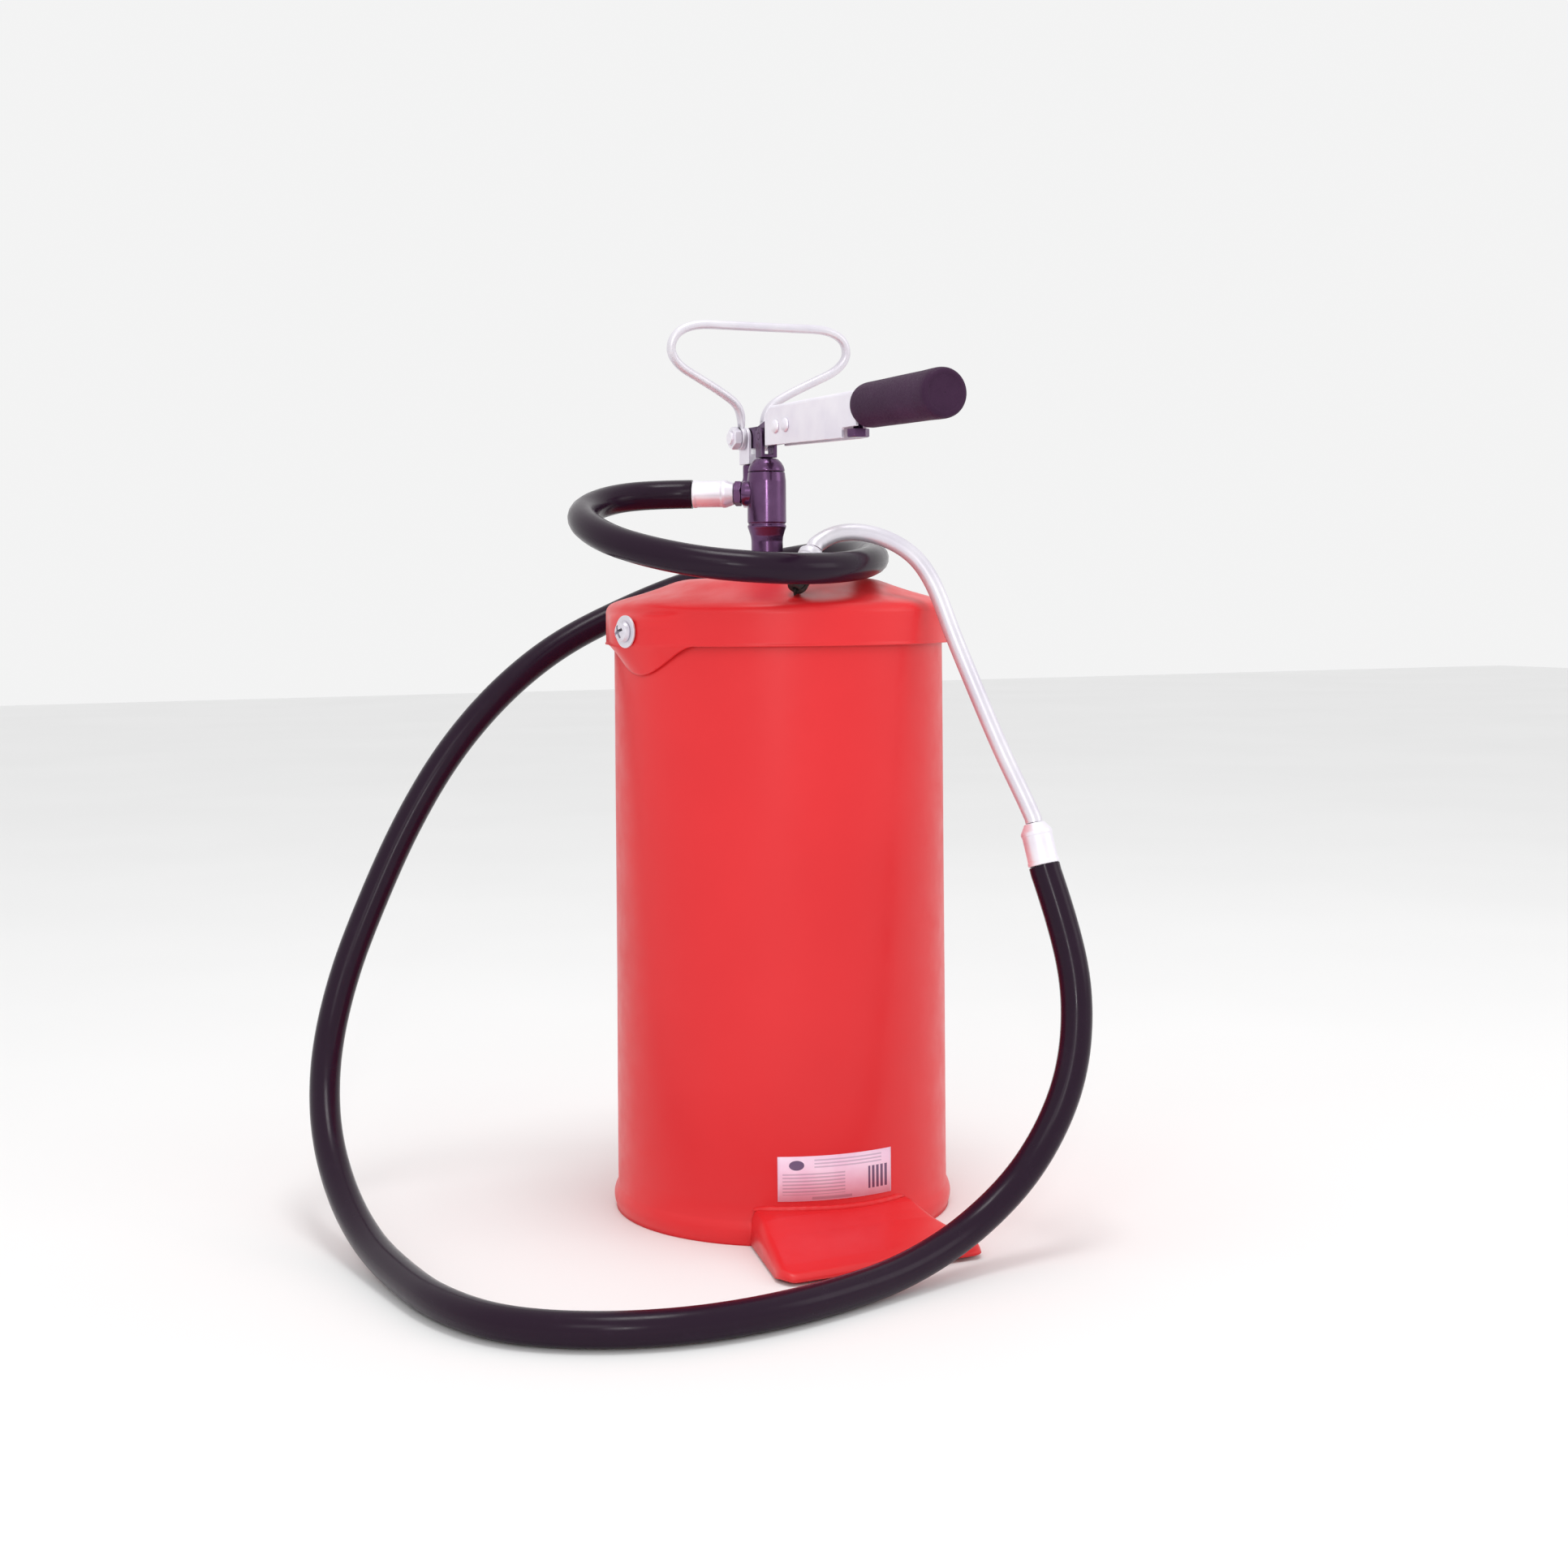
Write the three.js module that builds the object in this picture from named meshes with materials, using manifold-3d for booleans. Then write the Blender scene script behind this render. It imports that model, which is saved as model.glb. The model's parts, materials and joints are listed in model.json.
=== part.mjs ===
// Bucket grease pump: a sheet-steel grease bucket with a bolted lid, a lever-operated pump on
// the lid, a folding carry handle, and a rubber hose that ends in a rigid tube and a coupler.
// Millimetres, +Z up. The model is drawn around the bucket's vertical axis, with the lever
// towards -Y, and is then moved along Y so that the origin is under the middle of the body.

import * as THREE from 'three';
import { mergeVertices } from 'three/addons/utils/BufferGeometryUtils.js';
import Module from 'manifold-3d';

const wasm = await Module();
wasm.setup();

// ---------------------------------------------------------------- driving dimensions

const GAP = 0.3; // clearance between pieces that touch
const BIG_SIDES = 40; // facets round the bucket and lid
const SIDES = 16; // facets round the pump's turned pieces
const BOLT_SIDES = 10; // facets round pins and shanks

const BUCKET_R = 100; // outside of the bucket wall
const WALL = 1.5; // sheet thickness
const SHELL_TOP = 360; // height of the bucket's rim
const BEAD_R = 102.5; // rolled bead round the foot
const BEAD_TOP = 14;
const PAN_Z = 11; // top of the bottom sheet

const LID_R = 105; // outside of the lid's skirt
const LID_SKIRT_Z = 340.5; // lower edge of the skirt
const LID_TOP_Z = 380; // flat top of the lid
const EAR_TURN = THREE.MathUtils.degToRad(12.4); // the ears sit a little off the X axis
const EAR_R = 111; // outer face of an ear
const EAR_Z = 349; // height of the ear screws

const PUMP_Y = 15; // the pump stands behind the bucket's axis
const TUBE_R = 13; // suction tube, outside
const TUBE_BORE = 11.5;
const TUBE_FOOT = 40; // lower end of the suction tube
const FLANGE_R = 31;
const FLANGE_Z = 382.1; // underside of the pump's flange
const FLANGE_BOLT_R = 24; // bolt circle radius
const BODY_R = 12; // pump head
const BODY_TOP = 445.5;
const ROD_R = 3.5;
const OUTLET_Z = 432.5;
const OUTLET_TURN = THREE.MathUtils.degToRad(147.5); // direction of the outlet, from +X

const FULCRUM_Y = 37; // the lever's fulcrum bolt
const FULCRUM_Z = 467.7;
const BOLT_R = 4; // fulcrum bolt
const POST_TOP = 451; // top of the casting's post, which carries the fulcrum's bracket
const PIN_R = 2; // pin between rod and lever
const LEVER_TRAVEL = THREE.MathUtils.degToRad(45);
const ROD_TRAVEL = 25; // rod lift in mm for each radian of lever travel

const PEDAL_X = -12; // middle of the foot pedal, under the label

const CHANNEL_BACK = 1; // the lever's channel runs from here to the grip
const CHANNEL_FRONT = -121.5;
const CHANNEL_LOW = 461; // its lower edge at the back
const NOTCH_LOW = 458.8;
const NOTCH_HIGH = 464.6;
const NOTCH_BACK = -103.2;
const CHANNEL_HIGH = 485;
const CHANNEL_HALF = 7.5; // half its width
const GRIP_Z = 476;
const CLAMP_Y = -110; // where the bolt that holds the grip's core stands
const GRIP_BACK = -122;
const GRIP_END = -212;

const HANDLE_ROD_R = 2.8;
const HOSE_R = 9;

// The body reaches from the grip's end to the back of the lid, and its middle is the origin.
const AXIS_Y = -(GRIP_END + LID_R) / 2;

// ---------------------------------------------------------------- the two free routes

// Centre line of the rubber hose, from the pump's ferrule to the far ferrule: a loop round
// the pump head, down the left, along the floor in front of the pedal, and up the right.
const HOSE_ROUTE = [
  [-39.3, 40, 432.5], [-42.7, 42.2, 432.5], [-65, 50.5, 432], [-88, 48, 429.5],
  [-108.5, 35.5, 423.5], [-121.5, 15.5, 417.5], [-127, -9, 411], [-124, -40, 402],
  [-109, -69, 394], [-85, -91, 388], [-54, -104, 385], [-20, -101, 384.5],
  [11, -84, 386.5], [36, -57, 390], [54, -22, 393], [61, 18, 395], [52, 60, 394],
  [25, 95, 387], [-13, 115, 376], [-55, 123, 359], [-99.5, 123.5, 337.5], [-138.5, 122, 308.5],
  [-172.5, 120, 272], [-199.5, 119.5, 230], [-223, 116, 184], [-243.5, 108.5, 139],
  [-258.5, 92, 96], [-266.5, 62, 60], [-267.5, 23.5, 32.5], [-265, -27, 15], [-261, -84, 10],
  [-254.5, -135, 9.5], [-236.5, -178, 9.5], [-200, -207, 9.5], [-156, -221, 9.5],
  [-111, -221, 9.5], [-64.5, -210.5, 9.5], [-18, -195.5, 12], [31.5, -181, 26], [71.5, -175, 54],
  [98.5, -172, 97], [109.5, -162, 145], [106, -149.5, 188], [102.2, -141.8, 210.2],
  [101.9, -141, 213],
];

// Centre line of the rigid delivery tube, from the far ferrule up and over to the coupler.
const TUBE_ROUTE = [
  [99.3, -134.4, 237.2], [99, -133.6, 240.1], [86, -120.5, 279], [74, -110.5, 316],
  [63.5, -101.5, 350], [57, -96, 373], [47, -91, 391], [31, -85, 402], [13, -79.5, 406.5],
  [-3, -77, 404], [-11.9, -78.3, 398.4], [-13.5, -79, 396],
];
const DELIVERY_R = 5;
const COUPLER_TIP = [-29, -86, 373];

// ---------------------------------------------------------------- materials

const finish = (color, roughness, metalness) =>
  new THREE.MeshStandardMaterial({ color, roughness, metalness });

const RED = finish(0xe33234, 0.35, 0);
const CAST = finish(0x6c6790, 0.45, 0.6);
const ZINC = finish(0xc9cad2, 0.35, 0.9);
const STEEL = finish(0x9a9ba3, 0.4, 0.9);
const RUBBER = finish(0x1d1422, 0.4, 0);
const GRIP = finish(0x2c1f33, 0.7, 0);
const LABEL = finish(0xf0c8d2, 0.5, 0);
const FIBRE = finish(0x3a3430, 0.8, 0);

// ---------------------------------------------------------------- making solids

// A geometry as a solid: vertices merged, collapsed triangles dropped, faces turned outwards.
function solid(geometry) {
  const bare = geometry.clone();
  bare.deleteAttribute('normal');
  bare.deleteAttribute('uv');
  const merged = mergeVertices(bare);
  const index = merged.index.array;
  const corner = merged.attributes.position;
  const kept = [];
  let volume = 0;
  const a = new THREE.Vector3();
  const b = new THREE.Vector3();
  const c = new THREE.Vector3();
  for (let i = 0; i < index.length; i += 3) {
    const [p, q, r] = [index[i], index[i + 1], index[i + 2]];
    if (p === q || q === r || r === p) continue;
    kept.push(p, q, r);
    a.fromBufferAttribute(corner, p);
    b.fromBufferAttribute(corner, q);
    c.fromBufferAttribute(corner, r);
    volume += a.dot(b.cross(c));
  }
  if (volume < 0) kept.reverse();
  return new wasm.Manifold(new wasm.Mesh({
    numProp: 3,
    vertProperties: new Float32Array(corner.array),
    triVerts: new Uint32Array(kept),
  }));
}

function geometryOf(body) {
  const mesh = body.getMesh();
  const geometry = new THREE.BufferGeometry();
  const places = new THREE.BufferAttribute(new Float32Array(mesh.vertProperties), 3);
  geometry.setAttribute('position', places);
  geometry.setIndex(new THREE.BufferAttribute(new Uint32Array(mesh.triVerts), 1));
  geometry.computeVertexNormals();
  return geometry;
}

// A turned solid about the Z axis from [radius, height] pairs.
function turned(profile, sides = SIDES) {
  const points = profile.map(([radius, height]) => new THREE.Vector2(radius, height));
  const geometry = new THREE.LatheGeometry(points, sides);
  geometry.rotateX(Math.PI / 2);
  return solid(geometry);
}

// A ring or washer about Z; the profile closes on itself.
function ring(inner, outer, low, high, sides = SIDES) {
  return turned([[inner, low], [outer, low], [outer, high], [inner, high], [inner, low]], sides);
}

function disc(radius, low, high, sides = SIDES) {
  return turned([[0, low], [radius, low], [radius, high], [0, high]], sides);
}

// A hexagonal nut about Z with a round hole.
function hexNut(hole, corner, low, high) {
  return disc(corner, low, high, 6).subtract(disc(hole, low - 1, high + 1, BOLT_SIDES));
}

function box(low, high) {
  const size = high.map((value, i) => value - low[i]);
  const geometry = new THREE.BoxGeometry(...size);
  geometry.translate(...low.map((value, i) => value + size[i] / 2));
  return solid(geometry);
}

// An outline of [y, z] points drawn in the YZ plane, given a thickness across X.
function acrossX(shape, low, high, segments = 8) {
  const geometry = new THREE.ExtrudeGeometry(shape, {
    depth: high - low, bevelEnabled: false, curveSegments: segments,
  });
  geometry.applyMatrix4(new THREE.Matrix4().makeBasis(
    new THREE.Vector3(0, 1, 0), new THREE.Vector3(0, 0, 1), new THREE.Vector3(1, 0, 0)));
  geometry.translate(low, 0, 0);
  return solid(geometry);
}

function upZ(shape, low, high, segments = 8) {
  const geometry = new THREE.ExtrudeGeometry(shape, {
    depth: high - low, bevelEnabled: false, curveSegments: segments,
  });
  geometry.translate(0, 0, low);
  return solid(geometry);
}

function outline(points) {
  return new THREE.Shape(points.map(([x, y]) => new THREE.Vector2(x, y)));
}

// A round bar along a smooth curve through the route's points.
function bar(route, radius, sides, steps) {
  const curve = new THREE.CatmullRomCurve3(route.map((p) => new THREE.Vector3(...p)));
  const section = [];
  for (let i = 0; i < sides; i += 1) {
    const angle = (i / sides) * 2 * Math.PI;
    section.push([radius * Math.cos(angle), radius * Math.sin(angle)]);
  }
  return solid(new THREE.ExtrudeGeometry(outline(section), { extrudePath: curve, steps }));
}

// Turns a solid drawn about Z so that its Z axis points along a direction, from a point.
function aimed(body, from, direction) {
  const turn = new THREE.Quaternion().setFromUnitVectors(
    new THREE.Vector3(0, 0, 1), new THREE.Vector3(...direction).normalize());
  const place = new THREE.Matrix4().compose(
    new THREE.Vector3(...from), turn, new THREE.Vector3(1, 1, 1));
  const geometry = geometryOf(body);
  geometry.applyMatrix4(place);
  return solid(geometry);
}

const alongX = (body, y, z) => aimed(body, [0, y, z], [1, 0, 0]);
const atPump = (body) => body.translate([0, PUMP_Y, 0]);

// ---------------------------------------------------------------- bucket

const gun = new THREE.Group();
gun.position.y = AXIS_Y;

function add(name, body, material, parent = gun) {
  const mesh = new THREE.Mesh(geometryOf(body), material);
  mesh.name = name;
  parent.add(mesh);
}

// The +X and -X ears are alike, so whatever belongs to one is made twice, half a turn apart.
const EARS = [['right', EAR_TURN], ['left', EAR_TURN + Math.PI]];
const spun = (body, angle) => body.rotate([0, 0, THREE.MathUtils.radToDeg(angle)]);
const radial = (body, z) => aimed(body, [0, 0, z], [1, 0, 0]);

function bucketShell() {
  const inside = BUCKET_R - WALL;
  let body = turned([
    [inside, 0], [101.3, 0], [102.2, 2], [BEAD_R, 5], [BEAD_R, 9], [101.6, 12],
    [BUCKET_R, BEAD_TOP], [BUCKET_R, SHELL_TOP], [inside, SHELL_TOP], [inside, 0],
  ], BIG_SIDES);
  for (const [, angle] of EARS) {
    body = body.subtract(spun(radial(disc(3.4, 90, 104, BOLT_SIDES), EAR_Z), angle));
  }
  return body;
}

// A shallow pan, its flange turned down inside the wall.
function bucketBottom() {
  const outer = BUCKET_R - WALL - GAP;
  return turned([
    [0, PAN_Z - WALL], [outer - 3, PAN_Z - WALL], [outer - WALL, PAN_Z - 3], [outer - WALL, 2],
    [outer, 2], [outer, PAN_Z - 2], [outer - 2, PAN_Z], [0, PAN_Z],
  ], BIG_SIDES);
}

// The plan of the pedal: it spreads from the wall to a toe with rounded corners.
function pedalPlan(inset) {
  const root = 45 - inset;
  const wide = 63.5 - inset;
  const toe = -163 + inset;
  const round = 11;
  const plan = new THREE.Shape();
  plan.moveTo(PEDAL_X + root, -70);
  plan.lineTo(PEDAL_X - root, -70);
  plan.lineTo(PEDAL_X - wide, toe + round);
  plan.quadraticCurveTo(PEDAL_X - wide, toe, PEDAL_X - wide + round, toe);
  plan.lineTo(PEDAL_X + wide - round, toe);
  plan.quadraticCurveTo(PEDAL_X + wide, toe, PEDAL_X + wide, toe + round);
  plan.closePath();
  return plan;
}

function pedalBlock(inset, drop) {
  const side = outline([
    [-70, -1 - drop], [-70, 22 - drop], [-102, 20 - drop], [-118, 14.5 - drop],
    [-150, 9 - drop], [-170, 5.5 - drop], [-170, -1 - drop],
  ]);
  return acrossX(side, -80, 80).intersect(upZ(pedalPlan(inset), -5, 40, 6));
}

function footPedal() {
  const wall = turned([
    [0, -5], [BEAD_R + GAP, -5], [BEAD_R + GAP, BEAD_TOP - 1], [BUCKET_R + GAP, BEAD_TOP + 1.5],
    [BUCKET_R + GAP, 50], [0, 50],
  ], BIG_SIDES);
  return pedalBlock(0, 0)
    .subtract(pedalBlock(2, 2))
    .subtract(wall)
    .subtract(box([-80, -180, -10], [80, 0, 0]));
}

// A sticker that follows the wall.
function label() {
  const inner = BUCKET_R + GAP;
  const middle = THREE.MathUtils.degToRad(-96.5);
  const half = 35 / BUCKET_R;
  const sheet = new THREE.Shape();
  sheet.absarc(0, 0, inner + 0.4, middle - half, middle + half, false);
  sheet.absarc(0, 0, inner, middle + half, middle - half, true);
  sheet.closePath();
  return upZ(sheet, 25, 51, 12);
}

function earWedge(inset) {
  const side = outline([
    [96, 364], [107, 364], [EAR_R - inset, 356], [EAR_R - inset, 342],
    [103.5 - inset, 322], [96, 322],
  ]);
  const front = outline([
    [-23 + inset, 366], [-23 + inset, 344], [-16 + inset, 329], [-9 + inset, 322.01 - inset],
    [9 - inset, 322.01 - inset], [16 - inset, 329], [23 - inset, 344], [23 - inset, 366],
  ]);
  const across = acrossX(side, -30, 30).rotate([0, 0, -90]);
  return across.intersect(acrossX(front, 80, 120));
}

// The dome and skirt are one pressing, with an ear on each side for the closing screws.
function lid() {
  const inner = LID_R - WALL;
  const dome = turned([
    [14, LID_TOP_Z], [54, LID_TOP_Z], [62, 378.2], [70, 375], [82, 371], [93, 368],
    [100, 365.6], [103.4, 363.6], [LID_R, 360], [LID_R, LID_SKIRT_Z],
    [inner, LID_SKIRT_Z], [inner, 359.5], [102, 362.3], [99.5, 364.1], [92.5, 366.4],
    [81.5, 369.4], [69.5, 373.4], [61.5, 376.6], [53.5, LID_TOP_Z - WALL],
    [14, LID_TOP_Z - WALL], [14, LID_TOP_Z],
  ], BIG_SIDES);
  let body = dome;
  const core = disc(inner, 300, 364, BIG_SIDES);
  const clearOfWall = disc(BUCKET_R + 1, 300, 364, BIG_SIDES);
  for (const [, angle] of EARS) {
    const ear = earWedge(0).subtract(earWedge(1.6)).subtract(clearOfWall);
    const skirtGap = earWedge(1.6).subtract(core);
    body = body.subtract(spun(skirtGap, angle)).add(spun(ear.subtract(core), angle));
    body = body.subtract(spun(radial(disc(3.4, 90, 120, BOLT_SIDES), EAR_Z), angle));
  }
  return flangeHoles(body);
}

// Three bolt holes on the pump's bolt circle.
const BOLT_ANGLES = [-30, 90, 210].map((degrees) => THREE.MathUtils.degToRad(degrees));

function boltPlace(angle) {
  return [FLANGE_BOLT_R * Math.cos(angle), PUMP_Y + FLANGE_BOLT_R * Math.sin(angle), 0];
}

function flangeHoles(body) {
  const pumpHole = atPump(disc(14, 370, 390));
  let cut = body.subtract(pumpHole);
  for (const angle of BOLT_ANGLES) {
    cut = cut.subtract(disc(2.9, 370, 395, BOLT_SIDES).translate(boltPlace(angle)));
  }
  return cut;
}

function addBucket() {
  add('bucket_shell', bucketShell(), RED);
  add('bucket_bottom', bucketBottom(), RED);
  add('foot_pedal', footPedal(), RED);
  add('label', label(), LABEL);
  add('lid', lid(), RED);
  add('lid_gasket', ring(97.6, 100.4, SHELL_TOP + GAP, 363.2, BIG_SIDES), FIBRE);
  for (const [side, angle] of EARS) {
    const washer = ring(3.3, 9.5, EAR_R + GAP, 112.5);
    add(`ear_washer_${side}`, spun(radial(washer, EAR_Z), angle), ZINC);
    const head = turned([[0, 112.8], [6.2, 112.8], [6.2, 115.4], [4.6, 117], [0, 117.4]], 12);
    const screw = head.add(disc(3, 92, 113, BOLT_SIDES));
    add(`ear_screw_${side}`, spun(radial(screw, EAR_Z), angle), ZINC);
    const nut = hexNut(3.3, 5.8, 93, 97.6);
    add(`ear_nut_${side}`, spun(radial(nut, EAR_Z), angle), ZINC);
  }
}

// ---------------------------------------------------------------- pump

const OUTLET = [Math.cos(OUTLET_TURN), Math.sin(OUTLET_TURN), 0];
const onOutlet = (body) => aimed(body, [0, PUMP_Y, OUTLET_Z], OUTLET);

function pumpBody() {
  const head = atPump(turned([
    [6.5, 366], [11.2, 366], [11.2, FLANGE_Z], [FLANGE_R, FLANGE_Z], [FLANGE_R, 386.5],
    [29.5, 388], [12.5, 388.6], [9.75, 391], [9.75, 404], [BODY_R, 411.5], [BODY_R, 412.6],
    [11.3, 413], [11.3, 414], [BODY_R, 414.4], [BODY_R, 440], [11.3, BODY_TOP],
    [6.8, BODY_TOP], [6.8, 438], [4.2, 438], [4.2, 436], [6.5, 436], [6.5, 366],
  ]));
  const arm = new THREE.Shape();
  arm.moveTo(-6.8, PUMP_Y);
  arm.lineTo(6.8, PUMP_Y);
  arm.absarc(0, FULCRUM_Y, 6.8, 0, Math.PI, false);
  arm.closePath();
  const armBody = upZ(arm, 429, 441, 12);
  const post = disc(5.6, 440, POST_TOP, 12).translate([0, FULCRUM_Y, 0]);
  const boss = onOutlet(disc(7.5, 0, 15.2));
  let body = head.add(armBody.subtract(atPump(disc(9, 420, 450)))).add(post);
  body = body.add(boss.subtract(atPump(disc(9, 420, 450))));
  body = body.subtract(onOutlet(disc(4, 0, 20, BOLT_SIDES)));
  body = body.subtract(disc(3.3, 420, POST_TOP + 1, BOLT_SIDES).translate([0, FULCRUM_Y, 0]));
  for (const angle of BOLT_ANGLES) {
    body = body.subtract(disc(2.9, 370, 395, BOLT_SIDES).translate(boltPlace(angle)));
  }
  return body;
}

function glandNut() {
  return atPump(turned([
    [3.9, BODY_TOP + GAP], [11.2, BODY_TOP + GAP], [10.5, 449], [8.7, 452.2], [6.4, 453.9],
    [3.9, 453.9], [3.9, BODY_TOP + GAP],
  ]));
}

// Four windows let grease into the strainer at the foot of the suction tube.
function strainer() {
  const cup = turned([
    [0, 26], [TUBE_R + 2, 26], [TUBE_R + 2, 48], [TUBE_R + GAP, 48], [TUBE_R + GAP, 39],
    [TUBE_R - 0.5, 39], [TUBE_R - 0.5, 28], [0, 28],
  ]);
  const windows = box([-20, -4, 29.5], [20, 4, 37.5]).add(box([-4, -20, 29.5], [4, 20, 37.5]));
  return atPump(cup.subtract(windows));
}

function inletSeat() {
  return atPump(turned([
    [4, TUBE_FOOT + 1], [11.2, TUBE_FOOT + 1], [11.2, 54], [8.5, 54], [4, 49], [4, TUBE_FOOT + 1],
  ]));
}

function addPump() {
  add('flange_gasket', flangeHoles(atPump(ring(14.4, FLANGE_R, 380.3, 381.8))), FIBRE);
  add('pump_body', pumpBody(), CAST);
  BOLT_ANGLES.forEach((angle, i) => {
    const bolt = disc(5.6, 388.9, 393, 6).add(disc(2.6, 374, 389, BOLT_SIDES));
    add(`flange_bolt_${i + 1}`, bolt.translate(boltPlace(angle)), ZINC);
  });
  add('packing', atPump(ring(3.9, 6.5, 438.3, 445.2)), FIBRE);
  add('gland_nut', glandNut(), CAST);
  add('suction_tube', atPump(ring(TUBE_BORE, TUBE_R, TUBE_FOOT, 381.8)), STEEL);
  add('strainer', strainer(), STEEL);
  add('inlet_seat', inletSeat(), STEEL);
  const ball = new THREE.SphereGeometry(5.5, 12, 8);
  ball.translate(0, PUMP_Y, 56.6);
  add('inlet_ball', solid(ball), ZINC);
  const nut = hexNut(4, 8, 15.5, 20);
  add('outlet_nut', onOutlet(nut), CAST);
}

// ---------------------------------------------------------------- head: fulcrum and handle

function fulcrumBracket() {
  const foot = POST_TOP + GAP;
  const side = new THREE.Shape();
  side.moveTo(FULCRUM_Y - 6.8, foot);
  side.lineTo(FULCRUM_Y + 6.8, foot);
  side.lineTo(FULCRUM_Y + 6.8, FULCRUM_Z);
  side.absarc(FULCRUM_Y, FULCRUM_Z, 6.8, 0, Math.PI, false);
  side.closePath();
  return acrossX(side, -5.6, 5.6, 10)
    .subtract(box([-3, 20, 457.5], [3, 60, 490]))
    .subtract(alongX(disc(BOLT_R + GAP, -20, 20, BOLT_SIDES), FULCRUM_Y, FULCRUM_Z))
    .subtract(disc(3.3, 430, 456, BOLT_SIDES).translate([0, FULCRUM_Y, 0]));
}

// A bent rod: a straight hand bar, rounded corners, and legs that end in eyes on the bolt.
function carryHandle() {
  const half = [
    [7.6, 36.4, 471], [7.9, 35, 480], [11, 33.3, 487.5], [24, 30.6, 496], [40, 28, 504],
    [54, 25.5, 511.5], [60, 23.3, 520], [57, 21.6, 529.5], [46, 20.7, 535],
  ];
  const mirrored = half.map(([x, y, z]) => [-x, y, z]).reverse();
  const route = [...half, [22, 20.5, 535.9], [-22, 20.5, 535.9], ...mirrored];
  let body = bar(route, HANDLE_ROD_R, 8, 36);
  for (const [low, high] of [[5.9, 9], [-9, -5.9]]) {
    body = body.add(alongX(disc(7.4, low, high), FULCRUM_Y, FULCRUM_Z));
  }
  // The rod is flattened where the nut and the bolt's head bear on the eyes.
  for (const [low, high] of [[9, 20], [-20, -9]]) {
    body = body.subtract(alongX(disc(8.6, low, high), FULCRUM_Y, FULCRUM_Z));
  }
  return body
    .subtract(box([-5.9, 20, 450], [5.9, 50, 478]))
    .subtract(alongX(disc(BOLT_R + GAP, -20, 20, BOLT_SIDES), FULCRUM_Y, FULCRUM_Z));
}

function addFulcrum() {
  add('fulcrum_bracket', fulcrumBracket(), ZINC);
  const fixing = disc(6, 424.5, 428.7, 6).add(disc(3, 428, 455.5, BOLT_SIDES));
  add('bracket_bolt', fixing.translate([0, FULCRUM_Y, 0]), ZINC);
  const bolt = disc(7.2, 11.2, 15.6, 6).add(disc(BOLT_R, -15.5, 12, BOLT_SIDES));
  add('fulcrum_bolt', alongX(bolt, FULCRUM_Y, FULCRUM_Z), ZINC);
  const nut = hexNut(BOLT_R + GAP, 7.2, -14, -9.3);
  add('fulcrum_nut', alongX(nut, FULCRUM_Y, FULCRUM_Z), ZINC);
  const washer = ring(BOLT_R + GAP, 7.6, 9.3, 10.9);
  add('fulcrum_washer', alongX(washer, FULCRUM_Y, FULCRUM_Z), ZINC);
  add('carry_handle', carryHandle(), ZINC);
}

// ---------------------------------------------------------------- lever

// Where the rod's pin lies in the lever's own plane when the lever has turned by an angle.
// The pin stays on the pump's axis and rises evenly, so the slot is very slightly curved.
function pinPlace(angle) {
  const out = FULCRUM_Y - PUMP_Y;
  const rise = ROD_TRAVEL * angle;
  const along = out * Math.cos(angle) + rise * Math.sin(angle);
  const across = rise * Math.cos(angle) - out * Math.sin(angle);
  return new THREE.Vector2(FULCRUM_Y - along, FULCRUM_Z + across);
}

// The slot's outline: the pin's path widened by its radius and a clearance, with round ends.
// The path turns tightly at its start, so offset points that fall inside the slot are dropped.
function pinSlot() {
  const width = PIN_R + 0.25;
  const steps = 12;
  const capSteps = 6;
  const path = [];
  const above = [];
  const below = [];
  for (let i = 0; i <= steps; i += 1) {
    const angle = (i / steps) * LEVER_TRAVEL;
    const here = pinPlace(angle);
    const run = pinPlace(angle + 0.01).sub(pinPlace(angle - 0.01)).normalize();
    const side = new THREE.Vector2(run.y, -run.x).multiplyScalar(width);
    path.push(here);
    above.push(here.clone().add(side));
    below.push(here.clone().sub(side));
  }
  const cap = (centre, from) => {
    const start = Math.atan2(from.y - centre.y, from.x - centre.x);
    const points = [];
    for (let i = 1; i < capSteps; i += 1) {
      const turn = start + (i / capSteps) * Math.PI;
      points.push(new THREE.Vector2(Math.cos(turn), Math.sin(turn)).multiplyScalar(width).add(centre));
    }
    return points;
  };
  const far = cap(path[steps], above[steps]);
  const near = cap(path[0], below[0]);
  const around = [...above, ...far, ...below.reverse(), ...near];
  return around.filter((point) => path.every((centre) => point.distanceTo(centre) > width * 0.97));
}

// A flat blade on the fulcrum, slotted for the pin, with a thick root inside the channel.
function leverTongue() {
  const blade = new THREE.Shape();
  blade.moveTo(FULCRUM_Y, FULCRUM_Z + 6.6);
  blade.absarc(FULCRUM_Y, FULCRUM_Z, 6.6, Math.PI / 2, -Math.PI / 2, true);
  blade.lineTo(-4, FULCRUM_Z - 6.1);
  blade.lineTo(-34, FULCRUM_Z - 6.1);
  blade.lineTo(-34, 481);
  blade.lineTo(-4, 481);
  blade.lineTo(22, FULCRUM_Z + 6.6);
  blade.closePath();
  const root = acrossX(outline([[-36, 462], [-8, 462], [-8, 481], [-36, 481]]), -5.4, 5.4);
  const slot = acrossX(new THREE.Shape(pinSlot()), -8, 8);
  let body = acrossX(blade, -2.6, 2.6, 10).add(root).subtract(slot);
  body = body.subtract(alongX(disc(BOLT_R + GAP, -9, 9, BOLT_SIDES), FULCRUM_Y, FULCRUM_Z));
  return rivetHoles(body);
}

const RIVETS = [[-15, 471.5], [-29, 471.5]];

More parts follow.
